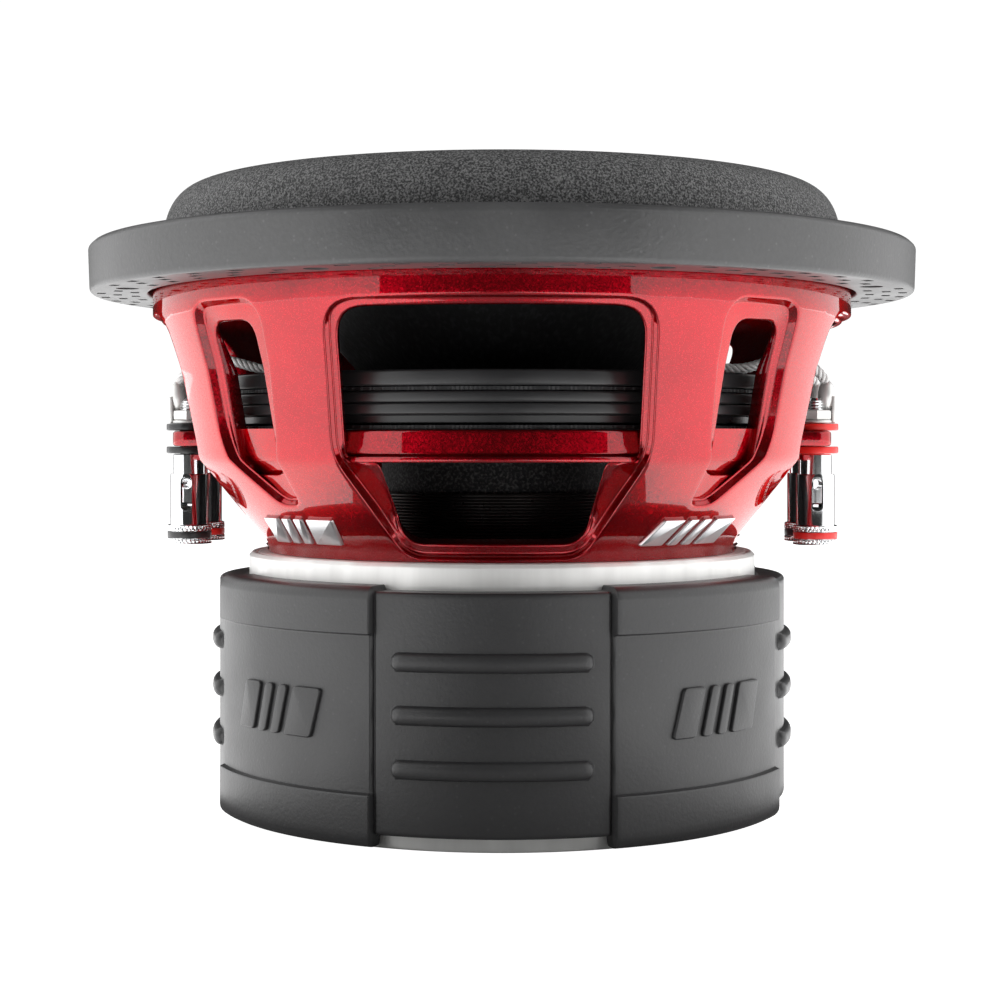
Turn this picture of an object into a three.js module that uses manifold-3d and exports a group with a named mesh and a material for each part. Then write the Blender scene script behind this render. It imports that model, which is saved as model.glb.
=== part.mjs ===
// A car subwoofer speaker, 8 inch class, standing on its back plate.
// Millimetres, +Z up along the speaker's axis, towards its front. The origin is the middle of the
// back plate's lower face. -Y is the front window of the basket, and the terminals are on +X and -X.
import * as THREE from "three";
import { mergeVertices } from "three/addons/utils/BufferGeometryUtils.js";
import Module from "manifold-3d";

const wasm = await Module();
wasm.setup();

// ---- driving dimensions -------------------------------------------------------------------
const SEAT = 0.1; // gap left between flat faces that are clamped or glued together
const FIT = 0.3; // gap left around a piece that sits in a bore or a groove
const RING_SIDES = 36; // sides of the large turned parts
const COIL_SIDES = 28; // sides of the motor's inner turned parts
const SMALL_SIDES = 12; // sides of the terminals' turned parts

const GASKET = { radius: 109, inner: 91, wrap: 93.6, low: 134.4, lipLow: 144.4, high: 147.4 };
const FLANGE = { radius: 104, low: 137.6, high: 141.2, screws: 8, screwCircle: 100.5, screwHole: 2.5 };
const BASKET = {
  rim: 92.5, rimInner: 88.8, windowTop: 126.7, windowHalf: 36, windowCorner: 7,
  kink: { r: 83.5, z: 91.6 }, well: 80.6, foot: 62.5, bore: 42, footLow: 67.2, footHigh: 72,
};
const SHELF = { inner: 66, outer: 77.5, low: 92.2, high: 98.8 };
const LOWER_WINDOW = { topHalf: 30, lowHalf: 22, low: 72.6, corner: 6 };
const ARM_SLOT = { half: 8.75, low: 99.4, high: 124, corner: 4.5 };
const STACK = { inner: 67, outer: 75.8, groove: 74.4 };
const POLE = { radius: 30.4, vent: 12, top: 70 };
const BACK = { radius: 70.6, thick: 12, screen: 15, screenDepth: 3 };
const MAGNET = { radius: 70, bore: 40, height: 21.4 };
const PLATE = { radius: 67.4, bore: 35.2, thick: 12 };
const FORMER = { inner: 31.7, outer: 32.3, low: 36, high: 117 };
const WINDING = { inner: 32.5, outer: 34.5, low: 39.5, high: 83 };
const CONE = { neck: 32.7, rim: 66.3, neckLow: 110.5, edgeLow: 140.5, thick: 2.4 };
const ROLL = { middle: 77.9, half: 11.9, base: 147.4, height: 15.4, wall: 2.6, outer: 97.3, inner: 60.6 };
const BOOT = {
  inner: 71.1, flush: 75.3, corner: 76.2, lip: 67.9, low: 3.9, high: 60.9,
  cornerLow: 0.9, cornerHigh: 62.1, bevel: 2.6, panelHalfAngle: 22.3,
};
const RIB = { radius: 77, root: 74, height: 4.8, lows: [18.5, 30.5, 42.8], halfAngle: 18.8 };
const TAB = { root: 72, reach: 89.4, half: 18, low: 94.8, high: 98.8, hole: 2.9 };
const TERMINAL = { x: 82.6, y: 10, stud: 2.5, washer: 6, washerHole: 2.9, washerThick: 1.8 };
const POST = { radius: 4.3, low: 79.6, wireHole: 1.4, wireZ: 84.9, top: 107.4 };
const SLEEVE = {
  radius: 5, bore: 4.65, cap: 5.8, groove: 5.15, low: 68.9, floor: 70.4,
  capTop: 74.1, top: 87.5, slotHalf: 1.5, slotLow: 77.9, slotHigh: 86.7,
};
const STRIPE = { inner: 5.3, low: 70.6, high: 72.3 };
const SPRING = { radius: 3.3, wire: 0.45, turns: 3.5 };
const LUG = { radius: 4.6, thick: 0.8, width: 4.4, top: 112.4 };
const NUT = { across: 7.6, thick: 2.6 };
const LEAD = { radius: 1.25 };
const SCREW = { circle: 52, hole: 2.4, head: 4, headHigh: 2.6, shank: 2, length: 9 };

// ---- finishes -----------------------------------------------------------------------------
const finish = (color, roughness, metalness) => () =>
  new THREE.MeshStandardMaterial({ color, roughness, metalness });
const redPaint = finish(0xb30d1c, 0.25, 0.5);
const gasketRubber = finish(0x4b4b4b, 0.75, 0);
const bootRubber = finish(0x3a3b3c, 0.7, 0);
const surroundFoam = finish(0x2f2f30, 0.9, 0);
const conePaper = finish(0x17171a, 0.8, 0);
const spiderCloth = finish(0x2a2a2c, 0.9, 0);
const blackPlastic = finish(0x222224, 0.5, 0);
const brightSteel = finish(0xc9c9c6, 0.3, 1);
const ferrite = finish(0x3a3a3d, 0.8, 0);
const chrome = finish(0xe4e6e8, 0.12, 1);
const tinnedSteel = finish(0xc2c3c2, 0.4, 1);
const redPlastic = finish(0xc21420, 0.45, 0);
const formerSheet = finish(0x1a1a1c, 0.6, 0);
const enamelWire = finish(0x141210, 0.35, 0.3);
const screwSteel = finish(0x2a2a2b, 0.4, 1);

// ---- geometry helpers ---------------------------------------------------------------------
const speaker = new THREE.Group();
const degrees = (angle) => (angle * Math.PI) / 180;

function add(name, geometry, material) {
  const mesh = new THREE.Mesh(geometry, material());
  mesh.name = name;
  speaker.add(mesh);
  return mesh;
}

// A body turned about Z. The profile runs up its outside and closes on itself or on the axis.
function turned(profile, sides) {
  const points = profile.map(([r, z]) => new THREE.Vector2(r, z));
  if (profile[0][0] > 0) points.push(points[0].clone());
  return new THREE.LatheGeometry(points, sides).rotateX(Math.PI / 2);
}

// A plain ring of rectangular section.
function ring(inner, outer, low, high, sides) {
  return turned([[inner, low], [outer, low], [outer, high], [inner, high]], sides);
}

// An outline in X and Z, carried along -Y from one distance to the other.
function carvedForward(shape, near, far, sides = 3) {
  const options = { depth: far - near, bevelEnabled: false, curveSegments: sides };
  return new THREE.ExtrudeGeometry(shape, options).rotateX(Math.PI / 2).translate(0, -near, 0);
}

// An outline in X and Y, carried up Z.
function raised(shape, low, high, sides = 3) {
  const options = { depth: high - low, bevelEnabled: false, curveSegments: sides };
  return new THREE.ExtrudeGeometry(shape, options).translate(0, 0, low);
}

function solid(geometry) {
  const bare = geometry.clone();
  bare.deleteAttribute("normal");
  bare.deleteAttribute("uv");
  const merged = mergeVertices(bare, 1e-4);
  const vertProperties = new Float32Array(merged.attributes.position.array);
  const triVerts = new Uint32Array(merged.index.array);
  return new wasm.Manifold(new wasm.Mesh({ numProp: 3, vertProperties, triVerts }));
}

function geometryOf(body) {
  const made = body.getMesh();
  const geometry = new THREE.BufferGeometry();
  geometry.setAttribute("position", new THREE.BufferAttribute(made.vertProperties, 3));
  geometry.setIndex(new THREE.BufferAttribute(made.triVerts, 1));
  const loose = geometry.toNonIndexed();
  loose.computeVertexNormals();
  return loose;
}

const without = (body, tools) => tools.reduce((rest, tool) => rest.subtract(solid(tool)), body);
const joined = (body, tools) => tools.reduce((sum, tool) => sum.add(solid(tool)), body);
const turns = (count, make) => Array.from({ length: count }, (_, i) => make((i * 2 * Math.PI) / count));

// An outline in X and Z with rounded corners, given from its low left corner, anticlockwise.
function roundedOutline(corners) {
  const shape = new THREE.Shape();
  corners.forEach(([x, y, radius], i) => {
    const here = new THREE.Vector2(x, y);
    const before = new THREE.Vector2(...corners.at(i - 1));
    const after = new THREE.Vector2(...corners[(i + 1) % corners.length]);
    const start = here.clone().add(before.sub(here).setLength(radius));
    const end = here.clone().add(after.sub(here).setLength(radius));
    if (i === 0) shape.moveTo(start.x, start.y);
    else shape.lineTo(start.x, start.y);
    if (radius > 0) shape.quadraticCurveTo(x, y, end.x, end.y);
  });
  shape.closePath();
  return shape;
}

const circleAt = (x, y, radius) => new THREE.Shape().absarc(x, y, radius, 0, 2 * Math.PI);

// A wedge of the full height, opening towards -Y.
function wedge(halfAngle, reach) {
  const side = reach * Math.tan(degrees(halfAngle));
  const corners = [[0, 0], [-side, -reach], [side, -reach]];
  const shape = new THREE.Shape(corners.map((p) => new THREE.Vector2(...p)));
  return raised(shape, -1, 200);
}

// ---- motor --------------------------------------------------------------------------------
const magnetLow = BACK.thick + SEAT;
const magnetHigh = magnetLow + MAGNET.height + SEAT;
const plateLow = magnetHigh + MAGNET.height + SEAT;
const plateHigh = plateLow + PLATE.thick;

function makeMotor() {
  const yoke = turned(
    [
      [POLE.vent, BACK.screenDepth], [BACK.screen, BACK.screenDepth], [BACK.screen, 0], [BACK.radius, 0],
      [BACK.radius, BACK.thick], [POLE.radius, BACK.thick], [POLE.radius, POLE.top - 2],
      [POLE.radius - 2, POLE.top], [POLE.vent + 3, POLE.top], [POLE.vent, POLE.top - 6],
    ],
    RING_SIDES,
  );
  add("back_plate_and_pole", yoke, brightSteel);

  const screenThick = 1;
  const screenLow = BACK.screenDepth - screenThick - SEAT;
  const screen = new THREE.Shape().absarc(0, 0, BACK.screen - FIT, 0, 2 * Math.PI);
  screen.holes.push(new THREE.Path().absarc(0, 0, 3, 0, 2 * Math.PI, true));
  turns(6, (a) => screen.holes.push(
    new THREE.Path().absarc(8.4 * Math.cos(a), 8.4 * Math.sin(a), 3, 0, 2 * Math.PI, true)));
  add("vent_screen", raised(screen, screenLow, screenLow + screenThick, 5), screwSteel);

  const magnet = (low) => ring(MAGNET.bore, MAGNET.radius, low, low + MAGNET.height, COIL_SIDES);
  add("magnet_rear", magnet(magnetLow), ferrite);
  add("magnet_front", magnet(magnetHigh), ferrite);

  const chamfer = 0.8;
  const plate = solid(turned(
    [
      [PLATE.bore, plateLow], [PLATE.radius, plateLow], [PLATE.radius, plateHigh - chamfer],
      [PLATE.radius - chamfer, plateHigh], [PLATE.bore, plateHigh],
    ],
    RING_SIDES,
  ));
  const drilled = screwPlaces().map(([x, y]) => raised(circleAt(x, y, SCREW.hole), plateHigh - 8, 200));
  add("top_plate", geometryOf(without(plate, drilled)), brightSteel);
}

function makeBoot() {
  const sleeve = (radius, low, high, bevel) => turned(
    [
      [BOOT.inner, low], [radius - bevel, low], [radius, low + bevel], [radius, high - bevel],
      [radius - bevel, high], [BOOT.lip, high], [BOOT.lip, plateLow + 0.4], [BOOT.inner, plateLow + 0.4],
    ],
    RING_SIDES,
  );
  const quarters = (geometry) => turns(4, (angle) => geometry.clone().rotateZ(angle));
  const openings = quarters(wedge(BOOT.panelHalfAngle, 150));
  const corners = without(solid(sleeve(BOOT.corner, BOOT.cornerLow, BOOT.cornerHigh, BOOT.bevel)), openings);
  const ribs = RIB.lows.map((low) => ring(RIB.root, RIB.radius, low, low + RIB.height, RING_SIDES));
  const ribSectors = joined(solid(wedge(RIB.halfAngle, 150)), quarters(wedge(RIB.halfAngle, 150)).slice(1));
  const trimmed = ribs.map((rib) => solid(rib).intersect(ribSectors));
  const flush = solid(sleeve(BOOT.flush, BOOT.low, BOOT.high, 1.2));
  const body = trimmed.reduce((sum, rib) => sum.add(rib), flush.add(corners));
  add("magnet_boot", geometryOf(body), bootRubber);
}

// ---- basket -------------------------------------------------------------------------------
function screwPlaces() {
  const first = Math.PI / 4;
  return turns(4, (a) => [SCREW.circle * Math.cos(a + first), SCREW.circle * Math.sin(a + first)]);
}

function flangeHoles(radius) {
  const half = Math.PI / FLANGE.screws;
  return turns(FLANGE.screws, (a) => {
    const x = FLANGE.screwCircle * Math.cos(a + half);
    const y = FLANGE.screwCircle * Math.sin(a + half);
    return raised(circleAt(x, y, radius), 130, 160);
  });
}

function makeBasket() {
  const shell = turned(
    [
      [BASKET.bore, BASKET.footLow], [BASKET.foot, BASKET.footLow], [BASKET.foot + 1.5, BASKET.footLow + 3],
      [BASKET.kink.r, BASKET.kink.z], [88, 114], [91, 124], [BASKET.rim, 128], [BASKET.rim, FLANGE.low],
      [FLANGE.radius, FLANGE.low], [FLANGE.radius, FLANGE.high], [BASKET.rimInner, FLANGE.high],
      [BASKET.rimInner, 128], [84.2, 117], [BASKET.well, 113.2], [BASKET.well, SHELF.high],
      [SHELF.inner, SHELF.high], [SHELF.inner, SHELF.low], [77, SHELF.low], [59.5, BASKET.footHigh],
      [BASKET.bore, BASKET.footHigh],
    ],
    RING_SIDES,
  );

  const window = roundedOutline([
    [-LOWER_WINDOW.lowHalf, LOWER_WINDOW.low, LOWER_WINDOW.corner],
    [LOWER_WINDOW.lowHalf, LOWER_WINDOW.low, LOWER_WINDOW.corner],
    [LOWER_WINDOW.topHalf, BASKET.kink.z, 0],
    [BASKET.windowHalf, SHELF.high, 0],
    [BASKET.windowHalf, BASKET.windowTop, BASKET.windowCorner],
    [-BASKET.windowHalf, BASKET.windowTop, BASKET.windowCorner],
    [-BASKET.windowHalf, SHELF.high, 0],
    [-LOWER_WINDOW.topHalf, BASKET.kink.z, 0],
  ]);
  const shelfBar = ring(SHELF.inner - 1, SHELF.outer, SHELF.low, SHELF.high, RING_SIDES);
  const windowTool = solid(carvedForward(window, 50, 120)).subtract(solid(shelfBar));
  const slot = roundedOutline([
    [-ARM_SLOT.half, ARM_SLOT.low, 0.5],
    [ARM_SLOT.half, ARM_SLOT.low, 0.5],
    [ARM_SLOT.half, ARM_SLOT.high, ARM_SLOT.corner],
    [-ARM_SLOT.half, ARM_SLOT.high, ARM_SLOT.corner],
  ]);
  const slotTool = solid(carvedForward(slot, 70, 120).rotateZ(Math.PI / 4));

  let body = solid(shell);
  for (const angle of [0, 90, 180, 270]) {
    body = body.subtract(windowTool.rotate(0, 0, angle)).subtract(slotTool.rotate(0, 0, angle));
  }

  const tab = roundedOutline([
    [TAB.root, -TAB.half, 0], [TAB.reach, -TAB.half, 5], [TAB.reach, TAB.half, 5], [TAB.root, TAB.half, 0],
  ]);
  const notch = roundedOutline([
    [TERMINAL.x - TERMINAL.washer - FIT, -TAB.half, 0], [TAB.reach + 1, -TAB.half, 0],
    [TAB.reach + 1, TAB.half, 0], [TERMINAL.x - TERMINAL.washer - FIT, TAB.half, 0],
  ]);
  const bothSides = (geometry) => [geometry, geometry.clone().rotateZ(Math.PI)];
  const tabs = bothSides(raised(tab, TAB.low, TAB.high));
  const notches = bothSides(raised(notch, SHELF.low - 1, TAB.low));
  const bores = screwPlaces().map(([x, y]) => raised(circleAt(x, y, SCREW.hole), 60, 80));
  const posts = terminals.map(({ x, y }) => raised(circleAt(x, y, TAB.hole), 90, 105, 6));
  const cuts = [...notches, ...bores, ...posts, ...flangeHoles(FLANGE.screwHole)];
  const finished = without(joined(body, tabs), cuts);
  add("basket", geometryOf(finished), redPaint);
}

function makeBasketScrews() {
  const seat = BASKET.footHigh + SEAT;
  screwPlaces().forEach(([x, y], i) => {
    const screw = turned(
      [
        [0, seat - SCREW.length], [SCREW.shank, seat - SCREW.length], [SCREW.shank, seat],
        [SCREW.head, seat], [SCREW.head, seat + SCREW.headHigh - 0.6],
        [SCREW.head - 0.8, seat + SCREW.headHigh], [0, seat + SCREW.headHigh],
      ],
      12,
    );
    add(`basket_screw_${i + 1}`, screw, screwSteel).position.set(x, y, 0);
  });
}

function makeGasket() {
  const body = solid(turned(
    [
      [GASKET.wrap, GASKET.low], [GASKET.radius - 1, GASKET.low], [GASKET.radius, GASKET.low + 1],
      [GASKET.radius, GASKET.high - 1.5], [GASKET.radius - 1.5, GASKET.high], [GASKET.inner, GASKET.high],
      [GASKET.inner, GASKET.lipLow], [ROLL.outer + FIT, GASKET.lipLow], [ROLL.outer + FIT, FLANGE.high + FIT],
      [FLANGE.radius + FIT, FLANGE.high + FIT], [FLANGE.radius + FIT, FLANGE.low - FIT],
      [GASKET.wrap, FLANGE.low - FIT],
    ],
    RING_SIDES,
  ));
  add("rubber_gasket", geometryOf(without(body, flangeHoles(FLANGE.screwHole + 0.4))), gasketRubber);
}

// ---- suspension and moving assembly --------------------------------------------------------
function makeStackRings() {
  const lowerRing = turned(
    [
      [STACK.inner, 100.3], [STACK.groove, 100.3], [STACK.groove, 102.3], [STACK.outer, 102.3],
      [STACK.outer, 105], [STACK.inner, 105],
    ],
    COIL_SIDES,
  );
  add("spider_spacer_lower", lowerRing, blackPlastic);
  add("spider_spacer_upper", ring(STACK.inner, STACK.outer, 105.1, 107.8, COIL_SIDES), blackPlastic);
  add("spider_clamp_ring", ring(STACK.inner, STACK.outer, 109, 112.8, COIL_SIDES), blackPlastic);
}

// A corrugated disc, glued to the former inside and clamped at its flat outer edge.
function spider(low) {
  const thick = 1;
  const waves = 4;
  const depth = 2;
  const start = 37;
  const pitch = (STACK.inner - 2 - start) / waves;
  const crest = (i) => [start + i * pitch, low + (i % 2 ? depth : 0)];
  const crests = Array.from({ length: waves + 1 }, (_, i) => crest(i));
  const under = [
    [FORMER.outer + FIT, low - 1], [FORMER.outer + 1.4, low - 1], ...crests, [STACK.outer - 0.6, low],
  ];
  const over = under.slice(2).map(([r, z]) => [r, z + thick]).reverse();
  return turned([...under, ...over, [FORMER.outer + FIT, low + thick]], COIL_SIDES);
}

function makeSuspension() {
  add("spider_lower", spider(SHELF.high + SEAT), spiderCloth);
  add("spider_upper", spider(107.8 + SEAT), spiderCloth);

  const arc = (scaleR, scaleZ, from, to) => Array.from({ length: 7 }, (_, i) => {
    const a = degrees(from + ((to - from) * i) / 6);
    return [ROLL.middle + scaleR * Math.cos(a), ROLL.base + scaleZ * Math.sin(a)];
  });
  const lipLow = FLANGE.high + SEAT;
  const innerLow = CONE.edgeLow + CONE.thick + SEAT;
  const lip = 2;
  const surround = turned(
    [
      [ROLL.middle + ROLL.half - ROLL.wall, lipLow], [ROLL.outer, lipLow], [ROLL.outer, lipLow + lip],
      [ROLL.middle + ROLL.half, lipLow + lip], ...arc(ROLL.half, ROLL.height, 0, 180),
      [ROLL.middle - ROLL.half, innerLow + lip], [ROLL.inner, innerLow + lip], [ROLL.inner, innerLow],
      [ROLL.middle - ROLL.half + ROLL.wall, innerLow],
      ...arc(ROLL.half - ROLL.wall, ROLL.height - ROLL.wall, 180, 0),
    ],
    RING_SIDES,
  );
  add("surround", surround, surroundFoam);
}

function makeMovingAssembly() {
  const tube = ({ inner, outer, low, high }) => ring(inner, outer, low, high, COIL_SIDES);
  add("voice_coil_former", tube(FORMER), formerSheet);
  add("voice_coil_winding", tube(WINDING), enamelWire);

  const edgeHigh = CONE.edgeLow + CONE.thick;
  const cone = turned(
    [
      [CONE.neck, CONE.neckLow], [CONE.neck + 2.4, CONE.neckLow], [CONE.rim - 5, CONE.edgeLow],
      [CONE.rim, CONE.edgeLow], [CONE.rim, edgeHigh], [CONE.rim - 7.6, edgeHigh],
      [CONE.neck, CONE.neckLow + 3.4],
    ],
    RING_SIDES,
  );
  add("cone", cone, conePaper);

  const capEdge = { r: 45, z: 129.3 };
  const rise = 12;
  const thick = 1.2;
  const dome = (drop, steps) => Array.from({ length: steps + 1 }, (_, i) => {
    const r = capEdge.r * (1 - i / steps);
    return [r, capEdge.z + rise * (1 - (r / capEdge.r) ** 2) - drop];
  });
  const outside = dome(0, 4);
  const inside = dome(thick, 4).reverse();
  const cap = turned([...inside, ...outside], COIL_SIDES);
  add("dust_cap", cap, conePaper);
}

// ---- terminals ----------------------------------------------------------------------------
const terminals = [
  { name: "left_front", x: -TERMINAL.x, y: -TERMINAL.y, plastic: blackPlastic },
  { name: "left_rear", x: -TERMINAL.x, y: TERMINAL.y, plastic: redPlastic },
  { name: "right_front", x: TERMINAL.x, y: -TERMINAL.y, plastic: redPlastic },
  { name: "right_rear", x: TERMINAL.x, y: TERMINAL.y, plastic: blackPlastic },
];

const washerLow = TAB.low - SEAT - TERMINAL.washerThick;
const upperWasherLow = TAB.high + SEAT;
const lugLow = upperWasherLow + TERMINAL.washerThick + SEAT;
const nutLow = lugLow + LUG.thick + SEAT;

function postGeometry() {
  const shoulder = washerLow - SEAT;
  const body = solid(turned(
    [
      [0, POST.low], [POST.radius, POST.low], [POST.radius, shoulder], [TERMINAL.stud, shoulder],
      [TERMINAL.stud, POST.top], [0, POST.top],
    ],
    SMALL_SIDES,
  ));
  const wireHole = carvedForward(circleAt(0, POST.wireZ, POST.wireHole), -20, 20, 5);
  return geometryOf(body.subtract(solid(wireHole)));
}

function sleeveGeometry() {
  const body = solid(turned(
    [
      [0, SLEEVE.low], [SLEEVE.cap, SLEEVE.low], [SLEEVE.cap, STRIPE.low - SEAT],
      [SLEEVE.groove, STRIPE.low - SEAT], [SLEEVE.groove, STRIPE.high + SEAT],
      [SLEEVE.cap, STRIPE.high + SEAT], [SLEEVE.cap, SLEEVE.capTop],
      [SLEEVE.radius, SLEEVE.capTop], [SLEEVE.radius, SLEEVE.top], [SLEEVE.bore, SLEEVE.top],
      [SLEEVE.bore, SLEEVE.floor], [0, SLEEVE.floor],
    ],
    SMALL_SIDES,
  ));
  const slot = roundedOutline([
    [-SLEEVE.slotHalf, SLEEVE.slotLow, 1.4],
    [SLEEVE.slotHalf, SLEEVE.slotLow, 1.4],
    [SLEEVE.slotHalf, SLEEVE.slotHigh, 1.4],
    [-SLEEVE.slotHalf, SLEEVE.slotHigh, 1.4],
  ]);
  return geometryOf(body.subtract(solid(carvedForward(slot, -20, 20))));
}

function springGeometry() {
  const low = SLEEVE.floor + SEAT + SPRING.wire;
  const height = POST.low - SEAT - SPRING.wire - low;
  class Helix extends THREE.Curve {
    getPoint(t, target = new THREE.Vector3()) {
      const angle = t * SPRING.turns * 2 * Math.PI;
      return target.set(SPRING.radius * Math.cos(angle), SPRING.radius * Math.sin(angle), low + t * height);
    }
  }
  const wire = new THREE.Shape().absarc(0, 0, SPRING.wire, 0, 2 * Math.PI);
  const options = { steps: 28, curveSegments: 2, extrudePath: new Helix(), bevelEnabled: false };
  return new THREE.ExtrudeGeometry(wire, options);
}

// A ring under the nut with a tongue that stands up on its outer side.
function lugGeometry(side) {
  const base = solid(ring(TERMINAL.washerHole, LUG.radius, lugLow, lugLow + LUG.thick, SMALL_SIDES));
  const tongue = roundedOutline([
    [LUG.radius - 0.4, -LUG.width / 2, 0], [LUG.radius + 0.8, -LUG.width / 2, 0],
    [LUG.radius + 0.8, LUG.width / 2, 0], [LUG.radius - 0.4, LUG.width / 2, 0],
  ]);
  return geometryOf(base.add(solid(raised(tongue, lugLow, LUG.top)))).rotateZ(side > 0 ? 0 : Math.PI);
}

function nutGeometry() {
  const radius = NUT.across / 2 / Math.cos(Math.PI / 6);
  const corners = turns(6, (a) => new THREE.Vector2(radius * Math.cos(a), radius * Math.sin(a)));
  const shape = new THREE.Shape(corners);
  shape.holes.push(new THREE.Path().absarc(0, 0, TERMINAL.washerHole, 0, 2 * Math.PI, true));
  return raised(shape, nutLow, nutLow + NUT.thick, 8).rotateZ(Math.PI / 6);
}

// Braided lead from a lug to the back of the cone, with slack for the cone's travel.
function leadGeometry(side, y) {
  const tip = TERMINAL.x + LUG.radius - 1.9;
  const route = [
    [tip, 0, LUG.top - 4], [tip - 0.4, 0, LUG.top], [tip - 4.5, 0, 116.6], [76, 0, 118.2], [70, 0, 117],
    [64, 0, 115.4], [58, 0, 115.6], [54, 0, 118.2], [52, 0, 122.6], [51.3, 0, 127.6],
  ].map(([x, , z]) => new THREE.Vector3(side * x, y, z));
  const path = new THREE.CatmullRomCurve3(route);
  const section = new THREE.Shape().absarc(0, 0, LEAD.radius, 0, 2 * Math.PI);
  const options = { steps: 15, curveSegments: 4, extrudePath: path, bevelEnabled: false };
  return new THREE.ExtrudeGeometry(section, options);
}

function makeTerminals() {
  for (const { name, x, y, plastic } of terminals) {
    const washer = (low) => ring(
      TERMINAL.washerHole, TERMINAL.washer, low, low + TERMINAL.washerThick, SMALL_SIDES);
    const pieces = [
      ["terminal_post", postGeometry(), chrome],
      ["terminal_sleeve", sleeveGeometry(), chrome],
      ["terminal_stripe", ring(STRIPE.inner, SLEEVE.cap, STRIPE.low, STRIPE.high, SMALL_SIDES), plastic],
      ["terminal_spring", springGeometry(), tinnedSteel],
      ["washer_lower", washer(washerLow), plastic],
      ["washer_upper", washer(upperWasherLow), plastic],
      ["solder_lug", lugGeometry(x), tinnedSteel],
      ["terminal_nut", nutGeometry(), brightSteel],
    ];
    for (const [piece, geometry, material] of pieces) {
      add(`${piece}_${name}`, geometry, material).position.set(x, y, 0);
    }
    add(`tinsel_lead_${name}`, leadGeometry(Math.sign(x), y), tinnedSteel);
  }
}

makeMotor();
makeBoot();
makeBasket();
makeBasketScrews();
makeGasket();
makeStackRings();
makeSuspension();
makeMovingAssembly();
makeTerminals();

export default speaker;
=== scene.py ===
"""A car subwoofer speaker standing on its back plate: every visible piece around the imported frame."""

from math import cos, pi, radians, sin

import bmesh
import bpy
import numpy as np
from bpy.props import FloatProperty, FloatVectorProperty, IntProperty, PointerProperty
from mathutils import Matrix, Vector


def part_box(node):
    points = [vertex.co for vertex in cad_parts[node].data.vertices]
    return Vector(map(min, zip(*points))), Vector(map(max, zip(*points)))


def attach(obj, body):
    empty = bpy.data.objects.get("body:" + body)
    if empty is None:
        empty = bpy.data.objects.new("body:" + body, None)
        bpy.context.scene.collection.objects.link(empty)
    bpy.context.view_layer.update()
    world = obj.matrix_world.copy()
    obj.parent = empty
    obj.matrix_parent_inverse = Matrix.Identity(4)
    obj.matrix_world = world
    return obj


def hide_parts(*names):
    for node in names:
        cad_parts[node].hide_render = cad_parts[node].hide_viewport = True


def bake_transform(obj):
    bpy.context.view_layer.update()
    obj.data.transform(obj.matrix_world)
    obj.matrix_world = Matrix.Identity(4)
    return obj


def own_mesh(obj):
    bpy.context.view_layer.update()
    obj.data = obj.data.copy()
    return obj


bl_info = {
    "name": "Car subwoofer speaker",
    "version": (1, 0, 0),
    "blender": (4, 5, 0),
    "location": "3D View > Sidebar > Speaker",
    "description": "Builds a car subwoofer's basket, gasket, surround, boot and terminals",
    "category": "Add Mesh",
}

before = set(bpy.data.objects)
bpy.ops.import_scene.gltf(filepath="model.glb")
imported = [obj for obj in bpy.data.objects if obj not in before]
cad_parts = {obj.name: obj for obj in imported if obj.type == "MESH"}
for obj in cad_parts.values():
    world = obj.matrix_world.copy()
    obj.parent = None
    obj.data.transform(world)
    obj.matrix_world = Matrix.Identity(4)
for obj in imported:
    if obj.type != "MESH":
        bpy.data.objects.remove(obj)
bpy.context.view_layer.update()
MM = 0.001  # shapes are worked out in millimetres and stored in metres
SEAM = 2e-6  # points nearer than this, in metres, are one point


def span(node):
    """A turned CAD node's radius and its lowest and highest height, in millimetres."""
    low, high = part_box(node)
    return high.x / MM, low.z / MM, high.z / MM


def level(node):
    """A CAD node's lowest and highest height, in millimetres."""
    return span(node)[1:]


GASKET_RADIUS, GASKET_LOW, GASKET_HIGH = span("rubber_gasket")
BASKET_RADIUS, BASKET_LOW, BASKET_HIGH = span("basket")
BOOT_RADIUS, BOOT_LOW, BOOT_HIGH = span("magnet_boot")
PLATE_RADIUS, PLATE_LOW, PLATE_HIGH = span("top_plate")
BACK_RADIUS, BACK_LOW, POLE_HIGH = span("back_plate_and_pole")
ROLL_RADIUS, ROLL_LOW, ROLL_HIGH = span("surround")
CORNERS = ("left_front", "left_rear", "right_front", "right_rear")

# The basket's wall, from its foot to its rim: for each height on the outside, the radius there and
# the radius and height of the inside point straight across the wall.
WALL = np.array([
    (67.2, 62.5, 56.0, 67.2),
    (70.2, 64.0, 58.0, 72.0),
    (91.6, 83.5, 76.5, 92.2),
    (114.0, 88.0, 80.6, 113.2),
    (124.0, 91.0, 86.5, 124.0),
    (128.0, 92.5, 88.8, 128.0),
    (137.6, 92.5, 88.8, 137.6),
])
WALL_BLEND = 1.6  # how far each way the wall's creases are rounded
SHELF = {"inner": 66.0, "outer": 77.5, "low": 92.2, "high": 98.8}
WINDOW_SPAN = 29.0  # degrees from a window's middle to where the arm's own surface begins
WINDOW_COUNTS, ARM_COUNTS = (52, 66), (30, 66)  # points across and up a window's and an arm's patch
SCREW_CIRCLE = 100.5  # radius of the circle that the gasket's screw holes lie on


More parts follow.
